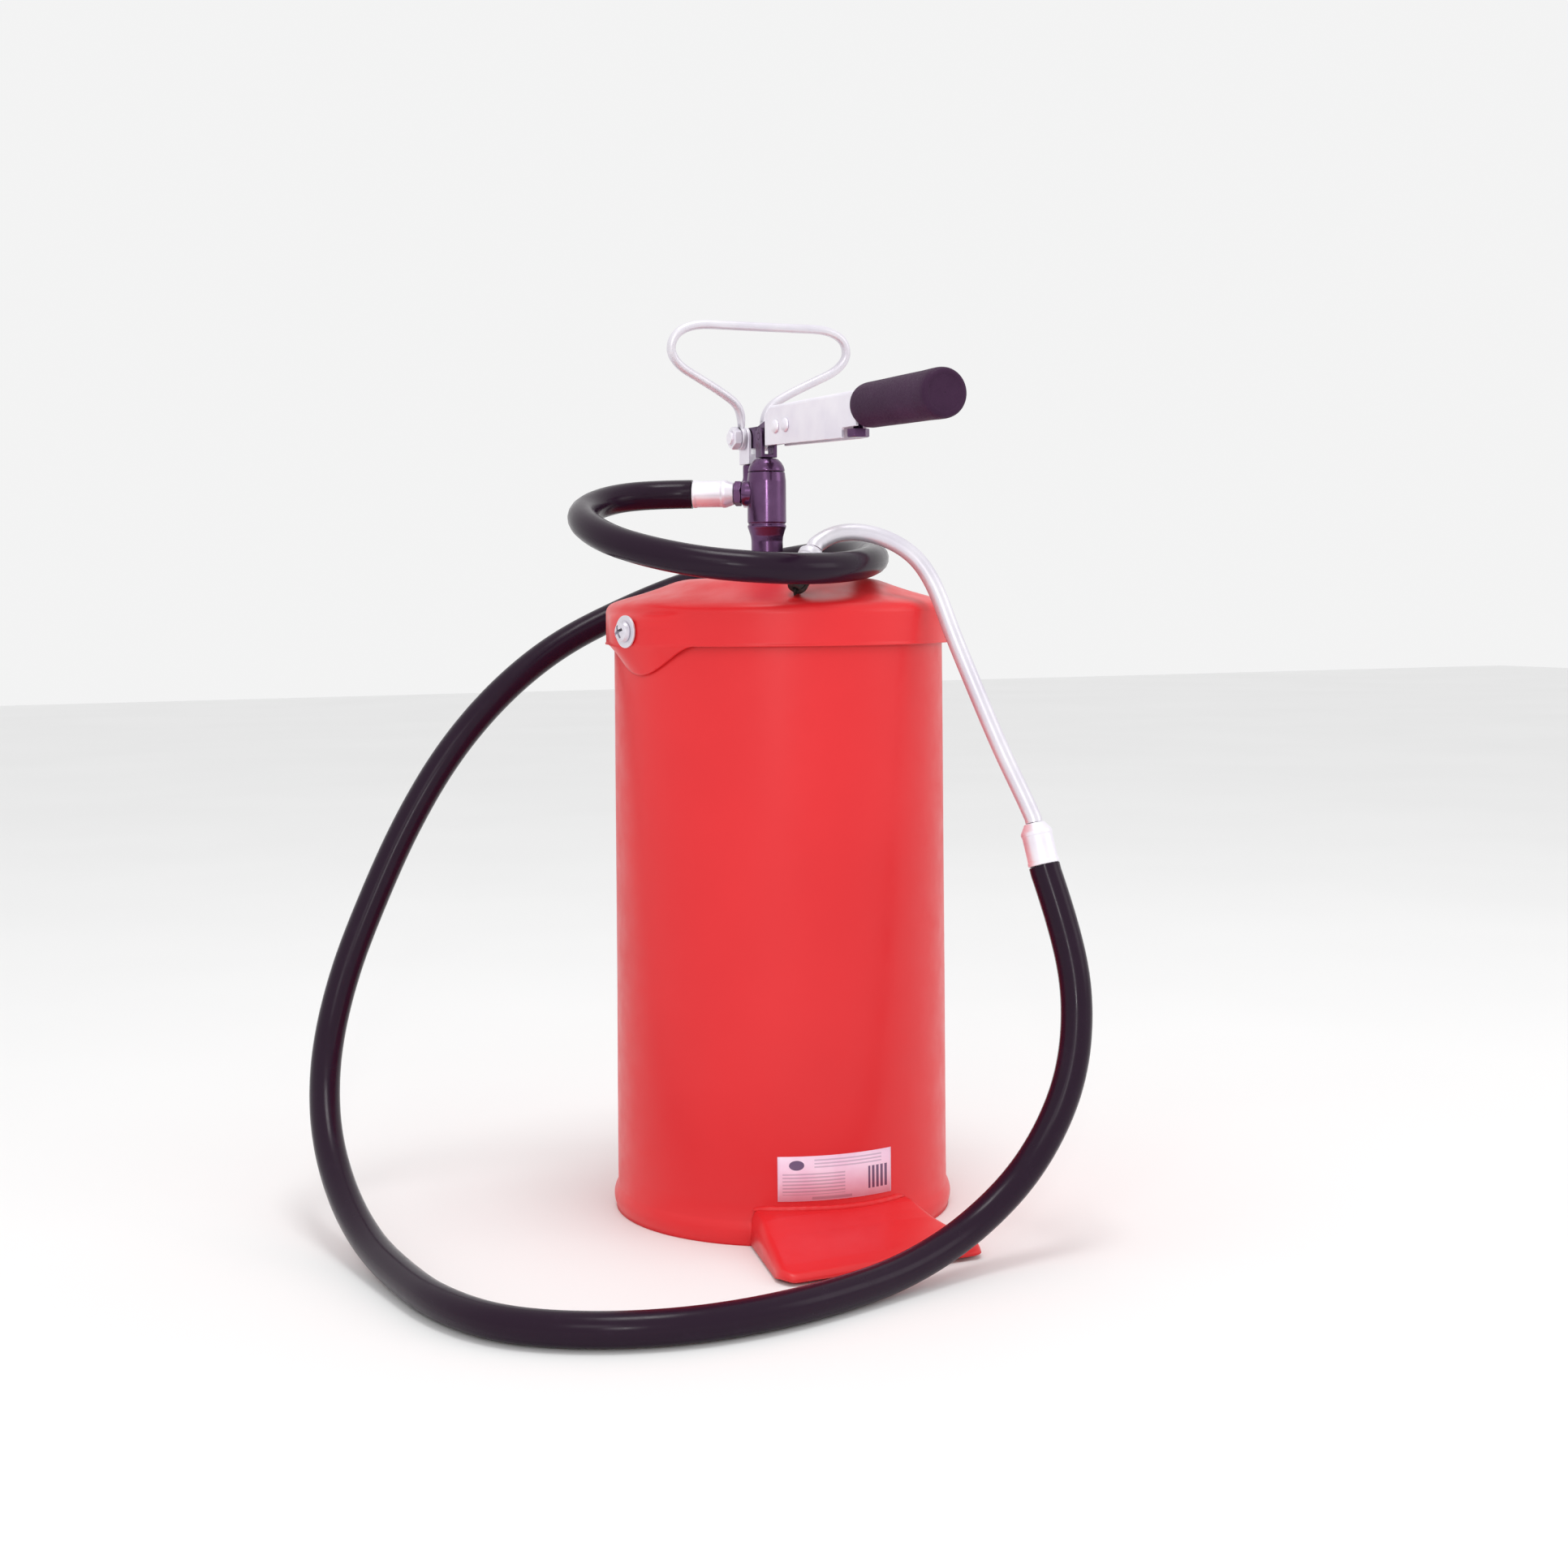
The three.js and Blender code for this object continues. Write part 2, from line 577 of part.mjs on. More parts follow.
function rivetHoles(body) {
  let cut = body;
  for (const [y, z] of RIVETS) {
    cut = cut.subtract(alongX(disc(2.9, -20, 20, BOLT_SIDES), y, z));
  }
  return cut;
}

// Sheet folded into an upside-down channel; its back corners are cut away.
function leverChannel() {
  const side = outline([
    [CHANNEL_BACK, CHANNEL_LOW], [NOTCH_BACK, NOTCH_LOW], [NOTCH_BACK, NOTCH_HIGH],
    [CHANNEL_FRONT, NOTCH_HIGH], [CHANNEL_FRONT, CHANNEL_HIGH],
    [CHANNEL_BACK - 8, CHANNEL_HIGH], [CHANNEL_BACK, 479],
  ]);
  const inner = CHANNEL_HALF - 1.8;
  const hollow = box([-inner, -130, 450], [inner, 10, CHANNEL_HIGH - 1.8]);
  return rivetHoles(acrossX(side, -CHANNEL_HALF, CHANNEL_HALF).subtract(hollow));
}

// The bore of the rubber is blind, and the outside swells towards a rounded end.
function grip() {
  const length = GRIP_BACK - GRIP_END;
  const profile = [
    [5.8, 0], [10.5, 0], [12.2, 1.2], [12.9, 4], [13.1, 30], [13.7, 60], [14.3, length - 8],
    [14.1, length - 3.5], [12.8, length - 1], [10.5, length], [0, length],
    [0, length - 6], [5.8, length - 6], [5.8, 0],
  ];
  return aimed(turned(profile, 20), [0, GRIP_BACK, GRIP_Z], [0, -1, 0]);
}

function addLever() {
  add('lever_tongue', leverTongue(), ZINC);
  add('lever_channel', leverChannel(), ZINC);
  RIVETS.forEach(([y, z], i) => {
    const rivet = disc(2.6, -8, 8, BOLT_SIDES)
      .add(turned([[0, 7.8], [4.4, 7.8], [3.4, 9.3], [0, 9.8]], BOLT_SIDES))
      .add(turned([[0, -9.8], [3.4, -9.3], [4.4, -7.8], [0, -7.8]], BOLT_SIDES));
    add(`lever_rivet_${i + 1}`, alongX(rivet, y, z), ZINC);
  });
  const core = aimed(ring(3.8, 5.5, 0, 110, 12), [0, -95, GRIP_Z], [0, -1, 0]);
  const clampHole = disc(3.1, 450, 479, BOLT_SIDES).translate([0, CLAMP_Y, 0]);
  add('grip_core', core.subtract(clampHole), STEEL);
  const clamp = disc(6.4, 458.7, 463.8, 6).add(disc(2.8, 463, 477, BOLT_SIDES));
  add('lever_bolt', clamp.translate([0, CLAMP_Y, 0]), CAST);
  add('grip', grip(), GRIP);
}

// ---------------------------------------------------------------- piston

function pistonRod() {
  const bar = atPump(disc(ROD_R, 326, 456));
  const fork = box([-5.3, PUMP_Y - 4.5, 454.4], [5.3, PUMP_Y + 4.5, 473]);
  const slot = box([-3, PUMP_Y - 9, 456.6], [3, PUMP_Y + 9, 480]);
  const pinHole = alongX(disc(PIN_R + GAP, -9, 9, BOLT_SIDES), PUMP_Y, FULCRUM_Z);
  return bar.add(fork).subtract(slot).subtract(pinHole);
}

function piston() {
  return atPump(turned([
    [ROD_R + GAP, 330.4], [11, 330.4], [11, 334], [8.5, 334], [8.5, 338.6], [11, 338.6],
    [11, 342], [6, 345], [ROD_R + GAP, 345], [ROD_R + GAP, 330.4],
  ]));
}

function addPiston() {
  add('piston_rod', pistonRod(), STEEL);
  add('rod_pin', alongX(disc(PIN_R, -5.2, 5.2, BOLT_SIDES), PUMP_Y, FULCRUM_Z), ZINC);
  add('piston', piston(), STEEL);
  add('piston_seal', atPump(ring(8.8, 11.25, 334.3, 338.3)), RUBBER);
  add('piston_nut', atPump(hexNut(ROD_R + GAP, 6.5, 326.4, 330.1)), ZINC);
}

// ---------------------------------------------------------------- follower plate

function followerPlate() {
  const plate = turned([
    [0, 300], [88, 300], [92, 296], [94, 296], [94, 297.6], [92.6, 297.6], [89, 301.6], [0, 301.6],
  ], BIG_SIDES);
  return plate.subtract(atPump(disc(TUBE_R + 1.2, 290, 310)));
}

function addFollower() {
  add('follower_plate', followerPlate(), STEEL);
  add('follower_seal', ring(94.3, 98, 295.5, 299, BIG_SIDES), RUBBER);
}

// ---------------------------------------------------------------- hose and delivery end

// A crimped ferrule about Z: a plain sleeve with a chamfered nose.
function ferrule(radius, length, neck) {
  return turned([
    [0, 0], [radius - 0.6, 0], [radius, 0.8], [radius, length - 2.5], [neck, length], [0, length],
  ]);
}

function difference(to, from) {
  return to.map((value, i) => value - from[i]);
}

function distance(to, from) {
  return Math.hypot(...difference(to, from));
}

// The point a short way beyond `from`, towards `to`.
function towards(from, to, step) {
  const whole = distance(to, from);
  return from.map((value, i) => value + ((to[i] - value) * step) / whole);
}

function addHose() {
  add('hose_ferrule_pump', onOutlet(ferrule(8.4, 26, 7).mirror([0, 0, 1]).translate([0, 0, 46.3])),
    ZINC);
  add('hose', bar(HOSE_ROUTE, HOSE_R, 8, 64), RUBBER);
  const start = HOSE_ROUTE[HOSE_ROUTE.length - 1];
  const end = TUBE_ROUTE[0];
  const reach = distance(end, start) - 2 * GAP;
  add('hose_ferrule_end', aimed(ferrule(8.8, reach, 6.4), towards(start, end, GAP),
    difference(end, start)), ZINC);
  add('delivery_tube', bar(TUBE_ROUTE, DELIVERY_R, 8, 26), ZINC);
  const bend = TUBE_ROUTE[TUBE_ROUTE.length - 1];
  const run = difference(COUPLER_TIP, bend);
  const body = turned([[0, 0], [6, 0], [7.6, 1.5], [7.6, 17], [6.6, 18], [0, 18]]);
  const nose = turned([[0, 18.3], [6, 18.3], [6.4, 20], [5.6, 26.5], [4.4, 28], [2, 28],
    [1.6, 24], [0, 24]]);
  const seat = towards(bend, COUPLER_TIP, 0.8);
  add('coupler_body', aimed(body, seat, run), ZINC);
  add('coupler_nose', aimed(nose, seat, run), FIBRE);
}

addBucket();
addPump();
addFulcrum();
addLever();
addPiston();
addFollower();
addHose();

export default gun;
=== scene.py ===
"""A bucket grease pump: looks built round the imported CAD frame.

Lengths below are in millimetres about the bucket's vertical axis, as in the part's source, and
place() turns them into metres in the row frame. Routes of the hose and its tube are in metres.
"""
import json
import math

import bmesh
import bpy
import numpy as np
from mathutils import Matrix, Vector


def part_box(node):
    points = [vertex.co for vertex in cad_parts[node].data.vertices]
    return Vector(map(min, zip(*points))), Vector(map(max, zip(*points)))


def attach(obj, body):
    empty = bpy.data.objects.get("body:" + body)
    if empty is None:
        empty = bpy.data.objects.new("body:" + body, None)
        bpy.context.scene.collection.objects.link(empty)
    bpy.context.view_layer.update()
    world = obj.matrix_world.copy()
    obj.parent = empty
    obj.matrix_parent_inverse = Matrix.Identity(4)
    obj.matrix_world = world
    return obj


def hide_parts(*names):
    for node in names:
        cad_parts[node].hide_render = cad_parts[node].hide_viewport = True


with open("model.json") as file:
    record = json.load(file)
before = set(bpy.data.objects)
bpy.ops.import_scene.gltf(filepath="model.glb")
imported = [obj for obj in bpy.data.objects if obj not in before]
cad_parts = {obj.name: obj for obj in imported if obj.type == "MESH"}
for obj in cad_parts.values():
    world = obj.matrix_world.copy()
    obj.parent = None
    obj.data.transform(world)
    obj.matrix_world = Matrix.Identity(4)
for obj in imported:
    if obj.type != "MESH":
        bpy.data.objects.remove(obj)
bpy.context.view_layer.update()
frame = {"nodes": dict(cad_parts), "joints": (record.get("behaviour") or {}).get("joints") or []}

MM = 0.001


def middle(node):
    """The middle of a CAD node's box, in metres."""
    low, high = (Vector(corner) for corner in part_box(node))
    return (low + high) / 2


AXIS_Y = middle("bucket_shell").y
BUCKET_R = 100
WALL_INSIDE = 98.5
LID_R = 105
SKIRT_TOP = 360
PUMP_Y = (middle("suction_tube").y - AXIS_Y) / MM
OUTLET_Z = 432.5
OUTLET_TURN = math.radians(147.5)
FULCRUM = Vector(frame["joints"][0]["pos_m"])
FULCRUM_Y = (FULCRUM.y - AXIS_Y) / MM
FULCRUM_Z = FULCRUM.z / MM
EAR_TURN = math.radians(12.4)
EAR_HALF = 46  # along the rim
EAR_Z = 349
GRIP_Z = 476
PEDAL_X = -12
PUMP_AXIS = Matrix.Translation((0, PUMP_Y, 0))
POST_TOP = 451
ARM_HALF = 6.8
BOLT_BORE = 4.15
HOSE_D = 0.018  # metres
DELIVERY_D = 0.010  # metres


def place(x, y, z):
    """A point given in millimetres about the bucket's axis, in metres in the row frame."""
    return Vector((x * MM, AXIS_Y + y * MM, z * MM))


# ---- camera

CAMERA_TURN = math.radians(-25)
CAMERA_AWAY = 1.376
CAMERA_Z = 0.371
LENS = 51.6
SHIFT_X, SHIFT_Y = 0.004, -0.122
ROLL = math.radians(-0.45)


def add_camera():
    """A level camera near the lid's height, rolled a touch; its shift frames the floor."""
    data = bpy.data.cameras.new("camera")
    data.lens = LENS
    data.sensor_width = 36
    data.shift_x = SHIFT_X
    data.shift_y = SHIFT_Y
    camera = bpy.data.objects.new("camera", data)
    ahead = Vector((-math.sin(CAMERA_TURN), math.cos(CAMERA_TURN), 0))
    camera.location = Vector((0, AXIS_Y, CAMERA_Z)) - ahead * CAMERA_AWAY
    look = ahead.to_track_quat("-Z", "Y").to_matrix().to_4x4()
    turn = look @ Matrix.Rotation(ROLL, 4, "Z")
    camera.rotation_euler = turn.to_euler()
    bpy.context.collection.objects.link(camera)
    bpy.context.scene.camera = camera


add_camera()

# ---- mesh helpers


def linked(name, data):
    """A new object in the scene."""
    piece = bpy.data.objects.new(name, data)
    bpy.context.collection.objects.link(piece)
    return piece


def smooth(mesh):
    for polygon in mesh.polygons:
        polygon.use_smooth = True
    return mesh


def mesh_object(name, points, faces):
    """A smooth-shaded mesh object from points in millimetres."""
    mesh = bpy.data.meshes.new(name)
    mesh.from_pydata([tuple(place(*p)) for p in points], [], faces)
    mesh.validate()
    return linked(name, smooth(mesh))


def sheet_faces(rows, cols):
    """The quads of a sheet whose points are stored row by row; rows and cols count quads."""
    width = cols + 1
    corners = [row * width + col for row in range(rows) for col in range(cols)]
    return [(k, k + 1, k + width + 1, k + width) for k in corners]


def outward(piece):
    """Turns a closed piece's faces outwards."""
    work = bmesh.new()
    work.from_mesh(piece.data)
    bmesh.ops.remove_doubles(work, verts=work.verts, dist=1e-7)
    bmesh.ops.recalc_face_normals(work, faces=work.faces)
    work.to_mesh(piece.data)
    work.free()
    return piece


def rounded(outline, radius, steps=4, closed=False):
    """Replaces each corner of an outline of (a, b) pairs with a small arc."""
    points = [Vector(p) for p in outline]
    result = []
    count = len(points)
    for i, here in enumerate(points):
        if not closed and i in (0, count - 1):
            result.append(tuple(here))
            continue
        before = points[i - 1] - here
        after = points[(i + 1) % count] - here
        reach = min(radius, before.length * 0.45, after.length * 0.45)
        start = here + before.normalized() * reach
        end = here + after.normalized() * reach
        for k in range(steps + 1):
            t = k / steps
            point = start * (1 - t) ** 2 + here * (2 * t * (1 - t)) + end * t ** 2
            result.append(tuple(point))
    return result


def arc(radius, first, turn, steps, middle=(0, 0)):
    """Points on a circle's arc, from its first angle through a turn."""
    angles = [first + turn * i / steps for i in range(steps + 1)]
    return [(middle[0] + radius * math.cos(a), middle[1] + radius * math.sin(a)) for a in angles]


def circle(radius, sides):
    return arc(radius, 0, 2 * math.pi, sides)[:-1]


def lathe(name, profile, sides=96, matrix=None, warp=None):
    """Turns (radius, height) pairs about Z. matrix places it, in millimetres; warp moves points."""
    points, faces, rows = [], [], []
    for radius, height in profile:
        if radius < 1e-6:
            rows.append([len(points)])
            points.append(Vector((0, 0, height)))
            continue
        rows.append(list(range(len(points), len(points) + sides)))
        points += [Vector((a, b, height)) for a, b in circle(radius, sides)]
    for low, high in zip(rows, rows[1:]):
        for i in range(sides):
            j = (i + 1) % sides
            if len(low) == 1 and len(high) == 1:
                continue
            if len(low) == 1:
                faces.append((low[0], high[j], high[i]))
            elif len(high) == 1:
                faces.append((low[i], low[j], high[0]))
            else:
                faces.append((low[i], low[j], high[j], high[i]))
    if warp:
        points = [warp(p) for p in points]
    if matrix:
        points = [matrix @ p for p in points]
    return outward(mesh_object(name, points, faces))


def ring_lathe(name, profile, sides=96, matrix=None, radius=0.4):
    """A turned ring: its profile is a closed outline with rounded corners."""
    loop = rounded(profile, radius, closed=True)
    return lathe(name, loop + [loop[0]], sides, matrix)


def cylinder(name, radius, low, high, matrix=None, sides=48):
    return lathe(name, [(0, low), (radius, low), (radius, high), (0, high)], sides, matrix)


def aim(start, direction):
    """Puts a shape drawn about +Z at a point, along a direction, both in millimetres."""
    turn = Vector(direction).normalized().to_track_quat("Z", "Y").to_matrix().to_4x4()
    return Matrix.Translation(Vector(start)) @ turn


def prism(name, outline, low, high, matrix=None):
    """A closed outline of (a, b) pairs, extruded along its own Z from low to high."""
    count = len(outline)
    points = [Vector((a, b, low)) for a, b in outline] + [Vector((a, b, high)) for a, b in outline]
    faces = [tuple(reversed(range(count))), tuple(range(count, 2 * count))]
    faces += [(i, (i + 1) % count, count + (i + 1) % count, count + i) for i in range(count)]
    if matrix:
        points = [matrix @ p for p in points]
    return outward(mesh_object(name, points, faces))


def across_x(y=0, z=0):
    """The frame of a shape drawn in (y, z) and pushed along X, or of an axis along X."""
    return Matrix(((0, 0, 1, 0), (1, 0, 0, y), (0, 1, 0, z), (0, 0, 0, 1)))


ACROSS_X = across_x()


def box_outline(left, low, right, high):
    return [(left, low), (right, low), (right, high), (left, high)]


def sweep(name, centres, section, side=None):
    """A closed tube through centre points (millimetres) with one section per point."""
    centres = [Vector(c) for c in centres]
    count = len(centres)
    points, faces = [], []
    for i, centre in enumerate(centres):
        along = (centres[min(i + 1, count - 1)] - centres[max(i - 1, 0)]).normalized()
        side = along.orthogonal().normalized() if side is None else Vector(side)
        side = (side - along * side.dot(along)).normalized()
        up = along.cross(side)
        shape = section(i / (count - 1))
        points += [centre + side * a + up * b for a, b in shape]
        width = len(shape)
    for i in range(count - 1):
        for j in range(width):
            k = (j + 1) % width
            faces.append((i * width + j, i * width + k, (i + 1) * width + k, (i + 1) * width + j))
    faces.append(tuple(reversed(range(width))))
    faces.append(tuple(range((count - 1) * width, count * width)))
    return outward(mesh_object(name, points, faces))


def smooth_route(route, steps):
    """A centripetal Catmull-Rom curve through the points, as three.js draws it."""
    pts = [Vector(p) for p in route]
    pts = [pts[0] * 2 - pts[1]] + pts + [pts[-1] * 2 - pts[-2]]
    spans = len(pts) - 3
    result = []
    for i in range(steps + 1):
        at = min(i * spans / steps, spans - 1e-9)
        k = int(at)
        p0, p1, p2, p3 = pts[k:k + 4]
        t0 = 0
        t1 = t0 + (p1 - p0).length ** 0.5
        t2 = t1 + (p2 - p1).length ** 0.5
        t3 = t2 + (p3 - p2).length ** 0.5
        t = t1 + (at - k) * (t2 - t1)

        def between(a, b, start, end):
            return a * ((end - t) / (end - start)) + b * ((t - start) / (end - start))

        a1, a2, a3 = between(p0, p1, t0, t1), between(p1, p2, t1, t2), between(p2, p3, t2, t3)
        b1, b2 = between(a1, a2, t0, t2), between(a2, a3, t1, t3)
        result.append(between(b1, b2, t1, t2))
    return result


def evenly(points, count):
    """The same line with its points evenly spaced."""
    lengths = [0]
    for a, b in zip(points, points[1:]):
        lengths.append(lengths[-1] + (b - a).length)
    result = []
    k = 0
    for i in range(count):
        want = lengths[-1] * i / (count - 1)
        while k < len(points) - 2 and lengths[k + 1] < want:
            k += 1
        span = max(lengths[k + 1] - lengths[k], 1e-12)
        result.append(points[k].lerp(points[k + 1], (want - lengths[k]) / span))
    return result


def modifier(piece, kind, **settings):
    added = piece.modifiers.new(kind.lower(), kind)
    for key, value in settings.items():
        setattr(added, key, value)
    return added


def apply_modifiers(piece):
    graph = bpy.context.evaluated_depsgraph_get()
    result = bpy.data.meshes.new_from_object(piece.evaluated_get(graph))
    piece.modifiers.clear()
    piece.data = smooth(result)
    return piece


def combine(piece, operation, *tools):
    """One boolean operation with each tool; the tools are deleted."""
    for tool in tools:
        modifier(piece, "BOOLEAN", operation=operation, object=tool, solver="EXACT")
    apply_modifiers(piece)
    for tool in tools:
        bpy.data.objects.remove(tool)


def cut(piece, *tools):
    combine(piece, "DIFFERENCE", *tools)


def thickened(piece, thickness):
    """Gives a sheet its thickness, in metres, on its inner side."""
    modifier(piece, "SOLIDIFY", thickness=thickness, offset=-1)
    return apply_modifiers(piece)


def eased(piece, width, angle=35, segments=3):
    """Small round edges wherever two faces meet at more than the angle."""
    modifier(piece, "BEVEL", width=width * MM, segments=segments, limit_method="ANGLE",
             angle_limit=math.radians(angle), harden_normals=False)
    modifier(piece, "WEIGHTED_NORMAL", keep_sharp=False, weight=80)
    return apply_modifiers(piece)


def joined(name, *parts):
    """Several meshes as one object."""
    work = bmesh.new()
    for part in parts:
        work.from_mesh(part.data)
    mesh = bpy.data.meshes.new(name)
    work.to_mesh(mesh)
    work.free()
    for part in parts:
        bpy.data.objects.remove(part)
    return linked(name, smooth(mesh))


def finished(piece, material, body, slot, *nodes):
    """Gives a piece its material, its body and the CAD nodes that it stands for; the slot is not
    used.
    """
    piece.data.materials.clear()
    piece.data.materials.append(material)
    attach(piece, body)
    if nodes:
        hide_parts(*nodes)


# ---- materials


class Paint:
    """A node material round one Principled shader."""

    def __init__(self, name, rough, metal=0.0, **sockets):
        self.material = bpy.data.materials.new(name)
        self.material.use_nodes = True
        self.nodes = self.material.node_tree.nodes
        self.links = self.material.node_tree.links
        self.shader = self.nodes["Principled BSDF"]
        self.shader.inputs["Roughness"].default_value = rough
        self.shader.inputs["Metallic"].default_value = metal
        for key, value in sockets.items():
            self.shader.inputs[key.replace("_", " ")].default_value = value
        coordinates = self.nodes.new("ShaderNodeTexCoord")
        self.place = coordinates.outputs["Object"]
        self.uv = coordinates.outputs["UV"]

    def link(self, source, target):
        self.links.new(source, target)

    def noise(self, scale, detail=4.0, rough=0.55, stretch=None):
        node = self.nodes.new("ShaderNodeTexNoise")
        node.inputs["Scale"].default_value = scale
        node.inputs["Detail"].default_value = detail
        node.inputs["Roughness"].default_value = rough
        source = self.place
        if stretch:
            mapping = self.nodes.new("ShaderNodeMapping")
            mapping.inputs["Scale"].default_value = stretch
            self.link(self.place, mapping.inputs["Vector"])
            source = mapping.outputs["Vector"]
        self.link(source, node.inputs["Vector"])
        return node.outputs["Fac"]

    def ramp(self, factor, dark, light):
        """A blend of two colours over the middle of a noise."""
        node = self.nodes.new("ShaderNodeValToRGB")
        stops = ((0.3, dark), (0.7, light))
        for element, (at, colour) in zip(node.color_ramp.elements, stops):
            element.position = at
            element.color = (*colour, 1)
        self.link(factor, node.inputs["Fac"])
        return node.outputs["Color"]

    def span(self, factor, low, high, to_low, to_high):
        """Stretches low..high of a factor to to_low..to_high."""
        node = self.nodes.new("ShaderNodeMapRange")
        node.inputs["From Min"].default_value = low
        node.inputs["From Max"].default_value = high
        node.inputs["To Min"].default_value = to_low
        node.inputs["To Max"].default_value = to_high
        self.link(factor, node.inputs["Value"])
        return node.outputs["Result"]

    def mix(self, factor, a, b):
        node = self.nodes.new("ShaderNodeMix")
        node.data_type = "RGBA"
        self.link(factor, node.inputs["Factor"])
        for index, value in ((6, a), (7, b)):
            if isinstance(value, tuple):
                node.inputs[index].default_value = (*value, 1)
            else:
                self.link(value, node.inputs[index])
        return node.outputs[2]

    def colour(self, output):
        self.link(output, self.shader.inputs["Base Color"])

    def roughness(self, factor, low, high, upper=0.7):
        """Roughness from low to high while a noise goes from 0.3 to upper."""
        self.link(self.span(factor, 0.3, upper, low, high), self.shader.inputs["Roughness"])

    def bump(self, height, distance, strength):
        node = self.nodes.new("ShaderNodeBump")
        node.inputs["Distance"].default_value = distance
        node.inputs["Strength"].default_value = strength
        self.link(height, node.inputs["Height"])
        if self.shader.inputs["Normal"].is_linked:
            self.link(self.shader.inputs["Normal"].links[0].from_socket, node.inputs["Normal"])
        self.link(node.outputs["Normal"], self.shader.inputs["Normal"])


def red_enamel():
    """Glossy red enamel: orange peel, a slow shift of shade and faint scuffs."""
    paint = Paint("red_enamel", 0.36, Specular_IOR_Level=0.30, Coat_Weight=0.12,
                  Coat_Roughness=0.3)
    dark, light = (0.71, 0.018, 0.023), (0.77, 0.023, 0.028)
    shade = paint.ramp(paint.noise(7, 3), dark, light)
    scuff = paint.span(paint.noise(140, 8, 0.7, (1, 1, 0.25)), 0.68, 0.76, 0, 0.25)
    paint.colour(paint.mix(scuff, shade, (0.70, 0.05, 0.045)))
    paint.roughness(paint.noise(60, 5), 0.30, 0.46, 0.75)
    paint.bump(paint.noise(420, 2), 0.00005, 0.3)
    paint.bump(paint.noise(14, 2), 0.0005, 0.2)
    return paint.material


def zinc_plate(name="zinc_plate", tone=1.0):
    """Bright zinc: a faint cloudy spangle with a violet cast; tone below 1 darkens it."""
    paint = Paint(name, 0.35, 0.5)
    cloud = paint.noise(45, 3, 0.45)
    low = tuple(tone * c for c in (0.83, 0.79, 0.88))
    high = tuple(tone * c for c in (0.94, 0.91, 0.97))
    paint.colour(paint.ramp(cloud, low, high))
    paint.roughness(paint.noise(80, 3), 0.34, 0.46)
    return paint.material


def blue_plate():
    """Dark violet-blue passivated casting, with roughness that varies at random."""
    paint = Paint("blue_plate", 0.34, 0.8)
    cloud = paint.noise(60, 4, 0.5)
    paint.colour(paint.ramp(cloud, (0.105, 0.045, 0.115), (0.16, 0.080, 0.18)))
    paint.roughness(paint.noise(120, 3), 0.17, 0.27)
    return paint.material


def bare_steel():
    """Drawn steel with lines along its length."""
    paint = Paint("bare_steel", 0.35, 1.0)
    lines = paint.noise(300, 4, 0.6, (1, 1, 0.05))
    paint.colour(paint.ramp(lines, (0.40, 0.40, 0.42), (0.60, 0.60, 0.62)))
    paint.roughness(lines, 0.25, 0.45)
    paint.bump(lines, 0.00003, 0.4)
    return paint.material


def painted_shade_steel():
    """Steel painted dark as shade on the lever's tongue, the rod and its pin, with lines along its
    length.
    """
    paint = Paint("painted_shade_steel", 0.3, 0.9)
    lines = paint.noise(260, 4, 0.6, (1, 1, 0.05))
    paint.colour(paint.ramp(lines, (0.085, 0.040, 0.095), (0.15, 0.085, 0.165)))
    paint.roughness(lines, 0.22, 0.36)
    return paint.material


def hose_rubber():
    """Smooth glossy black rubber with a plum tint and a dusting of handling marks."""
    paint = Paint("hose_rubber", 0.22, Specular_IOR_Level=0.15)
    dust = paint.span(paint.noise(70, 8, 0.7), 0.55, 0.85, 0, 0.4)
    paint.colour(paint.mix(dust, (0.018, 0.007, 0.018), (0.034, 0.017, 0.036)))
    paint.roughness(paint.noise(110, 6, 0.6), 0.16, 0.30, 0.75)
    return paint.material


def grip_rubber():
    """Matt moulded rubber with a fine pebble grain."""
    paint = Paint("grip_rubber", 0.6, Specular_IOR_Level=0.18)
    grain = paint.noise(900, 3, 0.6)
    patch = paint.noise(40, 4)
    paint.colour(paint.ramp(patch, (0.034, 0.009, 0.034), (0.052, 0.018, 0.052)))
    paint.roughness(grain, 0.5, 0.72)
    paint.bump(grain, 0.00018, 0.6)
    return paint.material


def dark_fibre():
    """Pressed gasket fibre."""
    paint = Paint("dark_fibre", 0.8)
    fibre = paint.noise(1200, 6, 0.7, (1, 1, 0.3))
    paint.colour(paint.ramp(fibre, (0.018, 0.015, 0.015), (0.06, 0.05, 0.045)))
    paint.bump(fibre, 0.0001, 0.5)
    return paint.material


